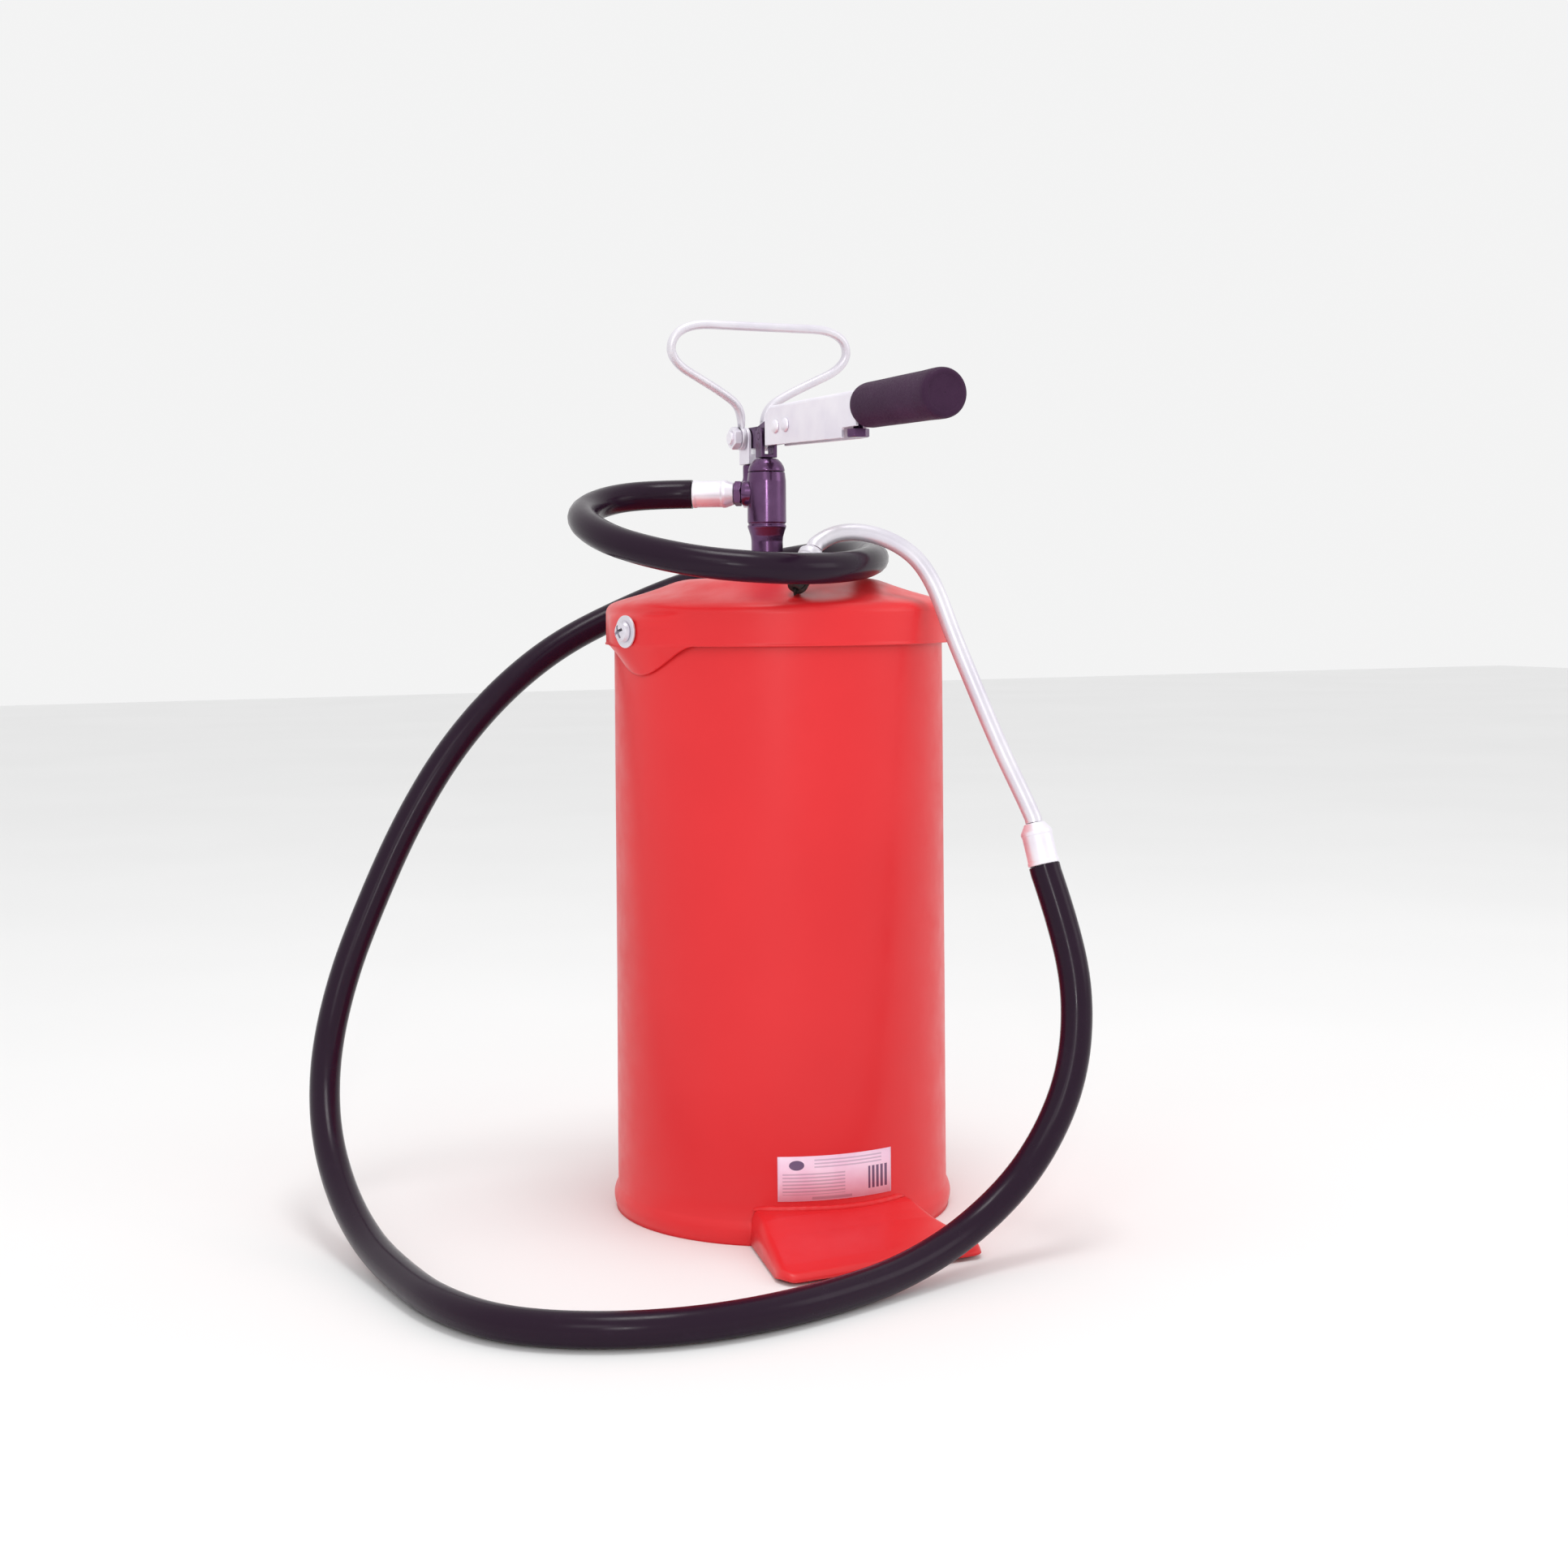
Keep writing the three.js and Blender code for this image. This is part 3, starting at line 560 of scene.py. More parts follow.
def label_paper():
    """A satin sticker: rules, a dark oval and a row of bars, with no lettering."""
    paint = Paint("label_paper", 0.45)
    split = paint.nodes.new("ShaderNodeSeparateXYZ")
    paint.link(paint.uv, split.inputs["Vector"])
    u, v = split.outputs["X"], split.outputs["Y"]

    def calc(kind, *values):
        node = paint.nodes.new("ShaderNodeMath")
        node.operation = kind
        for i, value in enumerate(values):
            if isinstance(value, (int, float)):
                node.inputs[i].default_value = value
            else:
                paint.link(value, node.inputs[i])
        return node.outputs[0]

    def within(value, low, high):
        return calc("MULTIPLY", calc("GREATER_THAN", value, low), calc("LESS_THAN", value, high))

    def patch(u_low, u_high, v_low, v_high):
        return calc("MULTIPLY", within(u, u_low, u_high), within(v, v_low, v_high))

    across = calc("DIVIDE", calc("SUBTRACT", u, 0.155), 0.062)
    upward = calc("DIVIDE", calc("SUBTRACT", v, 0.80), 0.11)
    radius = calc("ADD", calc("MULTIPLY", across, across), calc("MULTIPLY", upward, upward))
    oval = calc("LESS_THAN", radius, 1.0)
    bars = calc("GREATER_THAN", calc("FRACT", calc("MULTIPLY", calc("POWER", u, 0.6), 38)), 0.38)
    bars = calc("MULTIPLY", bars, patch(0.77, 0.96, 0.16, 0.66))
    rules = calc("GREATER_THAN", calc("FRACT", calc("MULTIPLY", v, 13)), 0.55)
    left = patch(0.04, 0.56, 0.14, 0.62)
    right = patch(0.30, 0.90, 0.70, 0.93)
    foot = patch(0.28, 0.62, 0.03, 0.09)
    rules = calc("MULTIPLY", rules, calc("MAXIMUM", left, right))
    faint = calc("MULTIPLY", calc("MAXIMUM", rules, foot), 0.34)
    dark = calc("MAXIMUM", calc("MAXIMUM", calc("MULTIPLY", oval, 0.96), faint),
                calc("MULTIPLY", bars, 0.9))
    paper = paint.ramp(paint.noise(60, 4), (0.88, 0.54, 0.70), (0.95, 0.68, 0.82))
    paint.colour(paint.mix(dark, paper, (0.10, 0.035, 0.12)))
    paint.roughness(paint.noise(200, 4), 0.36, 0.5)
    return paint.material


RED = red_enamel()
ZINC = zinc_plate()
# A darker copy of the zinc for the handle, the delivery tube, the coupler and the ear washers and
# screws: painted shade and painted dark reflection.
PAINTED_SHADE_ZINC = zinc_plate("zinc_painted_shade", 0.84)
BLUE = blue_plate()
STEEL = bare_steel()
# Dark steel standing in for the shade on the tongue, the rod and its pin: painted shade.
PAINTED_SHADE_STEEL = painted_shade_steel()
HOSE_RUBBER = hose_rubber()
GRIP_RUBBER = grip_rubber()
FIBRE = dark_fibre()
LABEL = label_paper()

# ---- hose and its ends

HOSE_ROUTE = [
    (-0.0393, 0.0400, 0.4325), (-0.0427, 0.0422, 0.4325), (-0.0650, 0.0505, 0.4320),
    (-0.0880, 0.0480, 0.4295), (-0.1085, 0.0355, 0.4235), (-0.1215, 0.0155, 0.4175),
    (-0.1270, -0.0090, 0.4110), (-0.1240, -0.0400, 0.4020), (-0.1090, -0.0690, 0.3940),
    (-0.0850, -0.0910, 0.3880), (-0.0540, -0.1040, 0.3850), (-0.0200, -0.1010, 0.3845),
    (0.0110, -0.0840, 0.3865), (0.0360, -0.0570, 0.3900), (0.0540, -0.0220, 0.3930),
    (0.0610, 0.0180, 0.3950), (0.0520, 0.0600, 0.3940), (0.0250, 0.0950, 0.3870),
    (-0.0130, 0.1150, 0.3760), (-0.0550, 0.1230, 0.3590), (-0.0995, 0.1235, 0.3375),
    (-0.1385, 0.1220, 0.3085), (-0.1725, 0.1200, 0.2720), (-0.1995, 0.1195, 0.2300),
    (-0.2230, 0.1160, 0.1840), (-0.2435, 0.1085, 0.1390), (-0.2585, 0.0920, 0.0960),
    (-0.2665, 0.0620, 0.0600), (-0.2675, 0.0235, 0.0325), (-0.2650, -0.0270, 0.0150),
    (-0.2610, -0.0840, 0.0100), (-0.2545, -0.1350, 0.0095), (-0.2365, -0.1780, 0.0095),
    (-0.2000, -0.2070, 0.0095), (-0.1560, -0.2210, 0.0095), (-0.1110, -0.2210, 0.0095),
    (-0.0645, -0.2105, 0.0095), (-0.0180, -0.1955, 0.0120), (0.0315, -0.1810, 0.0260),
    (0.0715, -0.1750, 0.0540), (0.0985, -0.1720, 0.0970), (0.1095, -0.1620, 0.1450),
    (0.1060, -0.1495, 0.1880), (0.1022, -0.1418, 0.2102), (0.1019, -0.1410, 0.2130),
]
TUBE_ROUTE = [
    (0.0993, -0.1344, 0.2372), (0.0990, -0.1336, 0.2401), (0.0860, -0.1205, 0.2790),
    (0.0740, -0.1105, 0.3160), (0.0635, -0.1015, 0.3500), (0.0570, -0.0960, 0.3730),
    (0.0470, -0.0910, 0.3910), (0.0310, -0.0850, 0.4020), (0.0130, -0.0795, 0.4065),
    (-0.0030, -0.0770, 0.4040), (-0.0119, -0.0783, 0.3984), (-0.0135, -0.0790, 0.3960),
]
COUPLER_TIP = (-29, -86, 373)


def in_row(route):
    """Route points about the bucket's axis as points in the row frame, in metres."""
    return [Vector((x, y + AXIS_Y, z)) for x, y, z in route]


def calmed(points, rounds):
    """Evens out small wobbles, keeping three points at each end where they are."""
    line = [p.copy() for p in points]
    for _ in range(rounds):
        line = [p if i < 3 or i > len(line) - 4 else (line[i - 1] + p * 2 + line[i + 1]) / 4
                for i, p in enumerate(line)]
    return line


def line_curve(name, points, diameter):
    """One open spline with a round section."""
    data = bpy.data.curves.new(name, "CURVE")
    data.dimensions = "3D"
    data.bevel_depth = diameter / 2
    data.bevel_resolution = 7
    data.use_fill_caps = True
    spline = data.splines.new("POLY")
    spline.points.add(len(points) - 1)
    for point, where in zip(spline.points, points):
        point.co = (*where, 1)
    spline.use_smooth = True
    return linked(name, data)


def outlet_matrix(along):
    """The frame of a piece that lies on the pump's outlet, so far along it."""
    way = Vector((math.cos(OUTLET_TURN), math.sin(OUTLET_TURN), 0))
    return aim(Vector((0, PUMP_Y, OUTLET_Z)) + way * along, way)


def ferrule_profile(radius, length, neck):
    """A crimped sleeve: a rolled lip, a plain barrel, a shoulder and a neck."""
    shape = [
        (0, 0), (radius - 1.0, 0), (radius, 0.6), (radius, 2.2), (radius - 0.35, 3.0),
        (radius - 0.35, length * 0.70), (radius, length * 0.73), (radius, length * 0.80),
        (neck, length * 0.97), (neck - 0.3, length), (0, length),
    ]
    return rounded(shape, 0.7)


def add_hose():
    line = calmed(evenly(smooth_route(in_row(HOSE_ROUTE), 900), 420), 14)
    hose = line_curve("hose_line", line, HOSE_D)
    finished(hose, HOSE_RUBBER, "bucket", "hose_rubber", "hose")

    pump_ferrule = lathe("ferrule_at_pump", ferrule_profile(8.6, 26, 7), 64,
                         outlet_matrix(46.3) @ Matrix.Rotation(math.pi, 4, "X"))
    finished(pump_ferrule, ZINC, "bucket", "zinc_plate", "hose_ferrule_pump")

    start = Vector(HOSE_ROUTE[-1]) / MM
    end = Vector(TUBE_ROUTE[0]) / MM
    run = end - start
    far = lathe("ferrule_at_tube", ferrule_profile(9.2, run.length - 0.6, 6.4), 64,
                aim(start + run.normalized() * 0.3, run))
    finished(far, ZINC, "bucket", "zinc_plate", "hose_ferrule_end")

    tube_line = calmed(evenly(smooth_route(in_row(TUBE_ROUTE), 400), 160), 40)
    tube = line_curve("delivery_pipe", tube_line, DELIVERY_D)
    finished(tube, PAINTED_SHADE_ZINC, "bucket", "zinc_plate", "delivery_tube")

    body, nose = add_coupler()


def add_coupler():
    """A grease coupler: a ringed sleeve with a knurled band and a nose with three jaws."""
    bend = Vector(TUBE_ROUTE[-1]) / MM
    run = Vector(COUPLER_TIP) - bend
    seat = aim(bend + run.normalized() * 0.8, run)
    shape = [(0, 0), (5.6, 0), (6.2, 1), (7.6, 2.4), (7.6, 5.5), (7.1, 6.2), (7.1, 13.2),
             (7.6, 13.9), (7.6, 16.8), (6.8, 18), (0, 18)]

    def knurl(p):
        if 6.4 < p.z < 13 and math.hypot(p.x, p.y) > 7:
            swell = 1 + 0.18 * math.cos(math.atan2(p.y, p.x) * 30) / 7
            return Vector((p.x * swell, p.y * swell, p.z))
        return p

    body = lathe("coupler_sleeve", rounded(shape, 0.5), 180, seat, knurl)
    finished(body, PAINTED_SHADE_ZINC, "bucket", "zinc_plate", "coupler_body")
    tip = [(0, 18.3), (6.0, 18.3), (6.4, 19.5), (5.9, 25.5), (4.6, 27.9), (2.2, 27.9),
           (1.7, 24), (0, 24)]
    nose = lathe("coupler_jaws", rounded(tip, 0.4), 72, seat)
    cut(nose, *(prism("jaw_slot", box_outline(0, -0.35, 9, 0.35), 21.5, 30,
                      seat @ Matrix.Rotation(i * 2 * math.pi / 3, 4, "Z")) for i in range(3)))
    eased(nose, 0.15)
    finished(nose, FIBRE, "bucket", "dark_fibre", "coupler_nose")
    return body, nose


add_hose()

# ---- bucket


def wall_warp(p):
    """Hand-rolled sheet: a barely uneven wall, with the bead and the rim left true."""
    z = p.z
    low, high = 20, 335
    if not low < z < high:
        return p
    turn = math.atan2(p.y, p.x)
    ease = math.sin(math.pi * (z - low) / (high - low))
    swell = 0.16 * math.sin(3 * turn + z * 0.011) + 0.10 * math.sin(5 * turn - z * 0.023)
    scale = 1 + ease * swell / BUCKET_R
    return Vector((p.x * scale, p.y * scale, z))


def bucket_shell():
    """The rolled wall, its bead at the foot, and its rim under the lid."""
    bead_top, bead_swell = 14, 2.4
    profile = [(WALL_INSIDE, 0.3), (101.2, 0)]
    profile += [(BUCKET_R + bead_swell * math.sin(math.pi * t / 12) ** 0.8, bead_top * t / 12)
                for t in range(1, 12)]
    profile += [(BUCKET_R, bead_top + 11 * i) for i in range(32)]
    profile += [(BUCKET_R, 359), (99.7, SKIRT_TOP), (98.8, SKIRT_TOP), (WALL_INSIDE, 359),
                (WALL_INSIDE, 200), (WALL_INSIDE, 0.3)]
    shell = lathe("bucket_wall", profile, 200, None, wall_warp)
    finished(shell, RED, "bucket", "red_paint", "bucket_shell")


def bucket_pan():
    outline = rounded([(0, 9.4), (94, 9.4), (96.6, 7), (96.6, 2), (98.1, 2), (98.1, 9),
                       (96, 11), (0, 11)], 1.2)
    pan = lathe("bucket_pan", outline, 160)
    finished(pan, RED, "bucket", "red_paint", "bucket_bottom")


def back_seam():
    """The wall's welded lap: a low ridge up the back."""
    points = []
    count = 120
    for i in range(count + 1):
        z = 20 + 316 * i / count
        ripple = 0.12 * math.sin(i * 1.9)
        for a, out in ((-2.2, -0.2), (-1.2, 0.42), (0, 0.62 + ripple), (1.2, 0.42), (2.2, -0.2)):
            points.append((-a, math.sqrt(BUCKET_R ** 2 - a * a) + out + 0.12, z))
    last = count * 5
    faces = sheet_faces(count, 4) + [(0, 1, 2, 3, 4), tuple(range(last + 4, last - 1, -1))]
    faces += [(i * 5 + 4, i * 5, i * 5 + 5, i * 5 + 9) for i in range(count)]
    seam = outward(mesh_object("wall_seam", points, faces))
    finished(seam, RED, "bucket", "red_paint")


def pedal_height(y):
    """The pedal's top, so far out: highest against the wall, falling to the toe."""
    knots = [(96, 20.5), (102, 19.6), (110, 16.6), (118, 14.2), (135, 11.2), (150, 8.6), (163, 5.4)]
    outs, heights = zip(*knots)
    return float(np.interp(-y, outs, heights))


def pedal_half(y):
    """Half the pedal's width: it spreads from the wall to the toe."""
    return 44.6 + 18.5 * (-70 - y) / 82


def foot_pedal():
    """A pressed plate with rolled-down sides, spread up the wall and welded round it."""
    toe, root_half, low_side = -162.6, 47.2, 1.6
    rows, cols = 60, 72
    points = []
    for i in range(rows + 1):
        t = i / rows
        for j in range(cols + 1):
            s = -1 + 2 * j / cols
            x = PEDAL_X + s * root_half
            wall = -math.sqrt(max((BUCKET_R + 0.75) ** 2 - x * x, 0))
            corner = max(0, (abs(s) - 0.80) / 0.20)
            front = toe + 13 * corner ** 3
            y = wall + (front - wall) * t
            x = PEDAL_X + s * (pedal_half(y) - 0.3)
            roll = max(0, (abs(s) - 0.91) / 0.09)
            lip = max(0, (t - 0.93) / 0.07)
            z = pedal_height(y) + 0.6 * math.cos((x - PEDAL_X) / 22) * math.sin(math.pi * t)
            drop = 1 - math.sqrt(max(0, 1 - roll * roll))
            z -= drop * (z - low_side)
            z -= lip ** 3 * (z - 2.2) * 0.85
            points.append((x, y, max(z, low_side)))
    pedal = mesh_object("foot_plate", points, sheet_faces(rows, cols))
    work = bmesh.new()
    work.from_mesh(pedal.data)
    bmesh.ops.recalc_face_normals(work, faces=work.faces)
    if sum(f.normal.z for f in work.faces) < 0:
        bmesh.ops.reverse_faces(work, faces=work.faces)
    work.to_mesh(pedal.data)
    work.free()
    thickened(pedal, 0.0015)
    off_floor = 0.0002
    for vertex in pedal.data.vertices:
        vertex.co.z = max(vertex.co.z, off_floor)
    finished(pedal, RED, "bucket", "red_paint", "foot_pedal")


def pedal_weld():
    """The filled, painted-over joint where the pedal meets the wall."""
    half, steps = 45, 120
    centres = []
    for i in range(steps + 1):
        x = PEDAL_X - half + 2 * half * i / steps
        y = -math.sqrt((BUCKET_R + 0.2) ** 2 - x * x)
        centres.append((x, y, pedal_height(y) + 0.1))

    def section(t):
        swell = 2.1 + 0.12 * math.sin(t * 90)
        return circle(swell * min(1, 0.3 + 12 * min(t, 1 - t)), 12)

    weld = sweep("pedal_weld", centres, section)
    finished(weld, RED, "bucket", "red_paint")


def label():
    """A sticker bent to the wall, with a UV map for its printed pattern."""
    middle_turn = math.radians(-96.5)
    half = 35 / BUCKET_R
    radius = BUCKET_R + 0.62
    cols = 40
    points, uvs = [], []
    for z, v in ((25.3, 0.0), (38, 0.5), (50.7, 1.0)):
        points += [(a, b, z) for a, b in arc(radius, middle_turn - half, 2 * half, cols)]
        uvs += [(i / cols, v) for i in range(cols + 1)]
    sticker = mesh_object("sticker", points, sheet_faces(2, cols))
    layer = sticker.data.uv_layers.new(name="UVMap")
    for loop in sticker.data.loops:
        layer.data[loop.index].uv = uvs[loop.vertex_index]
    thickened(sticker, 0.00025)
    finished(sticker, LABEL, "bucket", "label_paper", "label")


bucket_shell()
bucket_pan()
back_seam()
foot_pedal()
pedal_weld()
label()

# ---- lid


def ear_pull(turn):
    """How much of an ear is present at an angle: 1 at its middle, 0 beside it."""
    best = 0
    for middle_turn in (EAR_TURN, EAR_TURN + math.pi):
        away = abs((turn - middle_turn + math.pi) % (2 * math.pi) - math.pi)
        across = away * LID_R / EAR_HALF
        best = max(best, math.cos(across * math.pi / 2) if across < 1 else 0)
    return best


# The lid's outer line from the pump's hole to the top of the skirt.
DOME = [
    (14.2, 380), (30, 380), (48, 379.9), (54, 379.6), (58, 379.0), (62, 378.1), (66, 376.7),
    (70, 375.2), (76, 373.1), (82, 371.2), (87, 369.8), (93, 368.1), (97, 366.9), (100, 365.8),
    (102, 364.8), (103.5, 363.5), (104.5, 361.8), (LID_R, SKIRT_TOP),
]


def lid():
    """One pressing: dome, rounded shoulder, skirt, and two flared ears for the screws."""
    sides, skirt_rows = 288, 26
    skirt_foot, ear_drop, wide_from = 340.5, 17.5, 341
    points = [(a, b, height) for radius, height in DOME for a, b in circle(radius, sides)]
    for k in range(1, skirt_rows + 1):
        t = k / skirt_rows
        for i in range(sides):
            turn = 2 * math.pi * i / sides
            pull = ear_pull(turn)
            foot = skirt_foot - ear_drop * pull ** 1.6
            z = SKIRT_TOP - (SKIRT_TOP - foot) * t
            rise = (z - foot) / (wide_from - foot + 0.01) if z < wide_from else 1
            top = float(np.interp(z, [wide_from, 351, 356, 362], [5.8, 6.0, 5.0, 0]))
            plate = pull ** 2 * (3 - 2 * pull)
            tuck = -3.4 * min(1, pull * 1.6)
            radius = LID_R + tuck * (1 - rise) + top * plate * rise
            if pull <= 0 and t > 0.93:
                radius += 0.5
            points.append((radius * math.cos(turn), radius * math.sin(turn), z))
    rows = len(DOME) + skirt_rows
    faces = []
    for row in range(rows - 1):
        for i in range(sides):
            j = (i + 1) % sides
            faces.append((row * sides + i, (row + 1) * sides + i,
                          (row + 1) * sides + j, row * sides + j))
    piece = mesh_object("lid_pressing", points, faces)
    thickened(piece, 0.0013)
    finished(piece, RED, "bucket", "red_paint", "lid")


def ear_frame(angle, radius):
    """The frame of a screw in an ear: its own Z points away from the bucket's axis."""
    x, y = Vector((math.cos(angle), math.sin(angle)))
    return Matrix(((-y, 0, x, x * radius), (x, 0, y, y * radius), (0, 1, 0, EAR_Z), (0, 0, 0, 1)))


def ear_screws():
    """Each ear: a washer and a round-headed screw with a cross recess."""
    for side, angle in (("right", EAR_TURN), ("left", EAR_TURN + math.pi)):
        seat = ear_frame(angle, 111.2)
        washer = ring_lathe(f"washer_{side}", [(3.4, 0), (9.5, 0), (9.5, 1.3), (3.4, 1.3)],
                            72, seat, 0.35)
        finished(washer, PAINTED_SHADE_ZINC, "bucket", "zinc_plate", f"ear_washer_{side}")
        head = [(0, -18), (2.9, -18), (2.9, 1.5), (6.2, 1.5), (6.25, 2.6), (5.6, 4.3),
                (4.2, 5.4), (2.2, 6.0), (0, 6.15)]
        screw = lathe(f"screw_{side}", rounded(head, 0.35), 64, seat)
        cut(screw, *(prism("recess", box_outline(-4, -0.9, 4, 0.9), 2.6, 9,
                           seat @ Matrix.Rotation(turn, 4, "Z"))
                     for turn in (0.4, 0.4 + math.pi / 2)))
        eased(screw, 0.2)
        finished(screw, PAINTED_SHADE_ZINC, "bucket", "zinc_plate", f"ear_screw_{side}")


lid()
ear_screws()

# ---- pump


def hex_head(name, corner, low, high, matrix, turn, both=False):
    """A hexagon whose corners are chamfered by a cone at the high end, or at both ends."""
    head = prism(name, arc(corner, turn, 5 * math.pi / 3, 5), low, high, matrix)
    flat = corner * math.cos(math.pi / 6)
    slope = (corner - flat) * 0.6 + 1.6
    foot = [(0, low - 5), (corner + 3, low - 5)]
    if both:
        foot = [(0, low - 0.02), (flat - 0.2, low - 0.02), (corner + 3, low + slope)]
    top = [(corner + 3, high - slope), (flat - 0.2, high + 0.02), (0, high + 0.02)]
    combine(head, "INTERSECT", lathe("keep", foot + top, 72, matrix))
    return eased(head, 0.18)


def upside_down(matrix, low, high):
    """Turns over what lies between two heights and leaves it between them."""
    up = Matrix.Translation((0, 0, low + high))
    return matrix @ up @ Matrix.Rotation(math.pi, 4, "X")


def flange_bolts():
    bolt_circle = 24
    for i, degrees in enumerate((-30, 90, 210)):
        angle = math.radians(degrees)
        matrix = Matrix.Translation((bolt_circle * math.cos(angle),
                                     PUMP_Y + bolt_circle * math.sin(angle), 0))
        head = hex_head(f"flange_bolt_head_{i + 1}", 5.6, 389.2, 393, matrix, 0.3 * i)
        washer = ring_lathe("washer", box_outline(2.9, 388.1, 6.6, 389.1), 48, matrix, 0.25)
        shank = cylinder("shank", 2.6, 374, 389.4, matrix, 32)
        bolt = joined(f"flange_bolt_{i + 1}_look", head, washer, shank)
        finished(bolt, ZINC, "bucket", "zinc_plate", f"flange_bolt_{i + 1}")


def pump_head():
    """The casting: flange, neck, barrel, rear arm for the fulcrum, and the outlet's boss."""
    profile = [(0, 366), (11.2, 366), (11.2, 382.1), (31, 382.1), (31, 386.6), (29.4, 388),
               (15, 388.3), (11.5, 389.4), (9.9, 392), (9.75, 395), (9.75, 403), (10.1, 406),
               (11.4, 410), (12, 411.6), (12, 412.5), (11.4, 413), (11.4, 413.9), (12, 414.4),
               (12, 440), (11.4, 445.2), (11.0, 445.5), (0, 445.5)]
    barrel = lathe("pump_casting", rounded(profile, 0.7, 5), 128, PUMP_AXIS)
    arm = prism("arm", [(-ARM_HALF, PUMP_Y), (ARM_HALF, PUMP_Y)]
                + arc(ARM_HALF, 0, math.pi, 16, (0, FULCRUM_Y)), 429, 441)
    post = lathe("post", rounded([(0, 438), (6.2, 438), (6.2, 441), (5.6, 443), (5.6, POST_TOP),
                                  (0, POST_TOP)], 0.8), 48, Matrix.Translation((0, FULCRUM_Y, 0)))
    boss = lathe("boss", rounded([(0, 0), (7.9, 0), (7.9, 13), (7.4, 15.2), (0, 15.2)], 0.8), 64,
                 outlet_matrix(0))
    combine(barrel, "UNION", arm, post, boss)
    cut(barrel, cylinder("drill", 3.9, 430, 450, PUMP_AXIS))
    eased(barrel, 0.7, 40, 3)
    finished(barrel, BLUE, "bucket", "blue_plate", "pump_body", "packing")


def gland():
    """The nut over the packing: a smooth bullet-shaped cap."""
    profile = [(3.8, 445.8), (11.3, 445.8), (11.3, 447.0), (10.7, 449), (9.4, 451.3),
               (7.6, 453.2), (6.4, 453.9), (3.8, 453.9)]
    nut = ring_lathe("gland_cap", profile, 96, PUMP_AXIS, 0.5)
    finished(nut, BLUE, "bucket", "blue_plate", "gland_nut")


def outlet_nut():
    nut = hex_head("outlet_union", 8.0, 15.5, 20, outlet_matrix(0), 0.25, True)
    finished(nut, BLUE, "bucket", "blue_plate", "outlet_nut")


flange_bolts()
pump_head()
gland()
outlet_nut()

# ---- fulcrum and carry handle

FULCRUM_AXIS = across_x(FULCRUM_Y, FULCRUM_Z)


def fulcrum_bracket():
    """A clevis: a foot on the casting's arm and two cheeks with round tops."""
    foot = POST_TOP + 0.3
    side = [(FULCRUM_Y - ARM_HALF, foot), (FULCRUM_Y + ARM_HALF, foot)]
    side += arc(ARM_HALF, 0, math.pi, 24, (FULCRUM_Y, FULCRUM_Z))
    clevis = prism("fulcrum_clevis", side, -5.6, 5.6, ACROSS_X)
    slot = prism("slot", box_outline(20, 457.5, 60, 490), -3, 3, ACROSS_X)
    cut(clevis, slot, cylinder("hole", 4.1, -20, 20, FULCRUM_AXIS))
    eased(clevis, 0.7, 40, 4)
    finished(clevis, ZINC, "bucket", "zinc_plate", "fulcrum_bracket")


def fulcrum_bolt():
    head = hex_head("fulcrum_bolt_head", 7.2, 11.2, 15.4, FULCRUM_AXIS, 0.2)
    shank = lathe("shank", rounded([(0, -15.6), (4, -15.6), (4, 11.6), (0, 11.6)], 0.5), 48,
                  FULCRUM_AXIS)
    bolt = joined("fulcrum_bolt_look", head, shank)
    finished(bolt, ZINC, "bucket", "zinc_plate", "fulcrum_bolt")
    washer = ring_lathe("fulcrum_washer_look", box_outline(4.2, 9.3, 7.6, 10.9), 64,
                        FULCRUM_AXIS, 0.3)
    finished(washer, ZINC, "bucket", "zinc_plate", "fulcrum_washer")
    nut = hex_head("fulcrum_nut_look", 7.2, -14, -9.3, FULCRUM_AXIS, 0.5, True)
    cut(nut, cylinder("hole", 4.05, -20, -8, FULCRUM_AXIS))
    finished(nut, ZINC, "bucket", "zinc_plate", "fulcrum_nut")


def bracket_bolt():
    matrix = Matrix.Translation((0, FULCRUM_Y, 0))
    low, high = 424.6, 428.6
    head = hex_head("bracket_bolt_head", 6, low, high, upside_down(matrix, low, high), 0.1)
    shank = cylinder("shank", 2.9, 428, 455, matrix, 32)
    bolt = joined("bracket_bolt_look", head, shank)
    finished(bolt, ZINC, "bucket", "zinc_plate", "bracket_bolt")


HANDLE_HALF = [
    (7.6, 36.4, 471), (7.9, 35, 480), (11, 33.3, 487.5), (24, 30.6, 496), (40, 28, 504),
    (54, 25.5, 511.5), (60, 23.3, 520), (57, 21.6, 529.5), (46, 20.7, 535),
]
HANDLE_R = 2.8


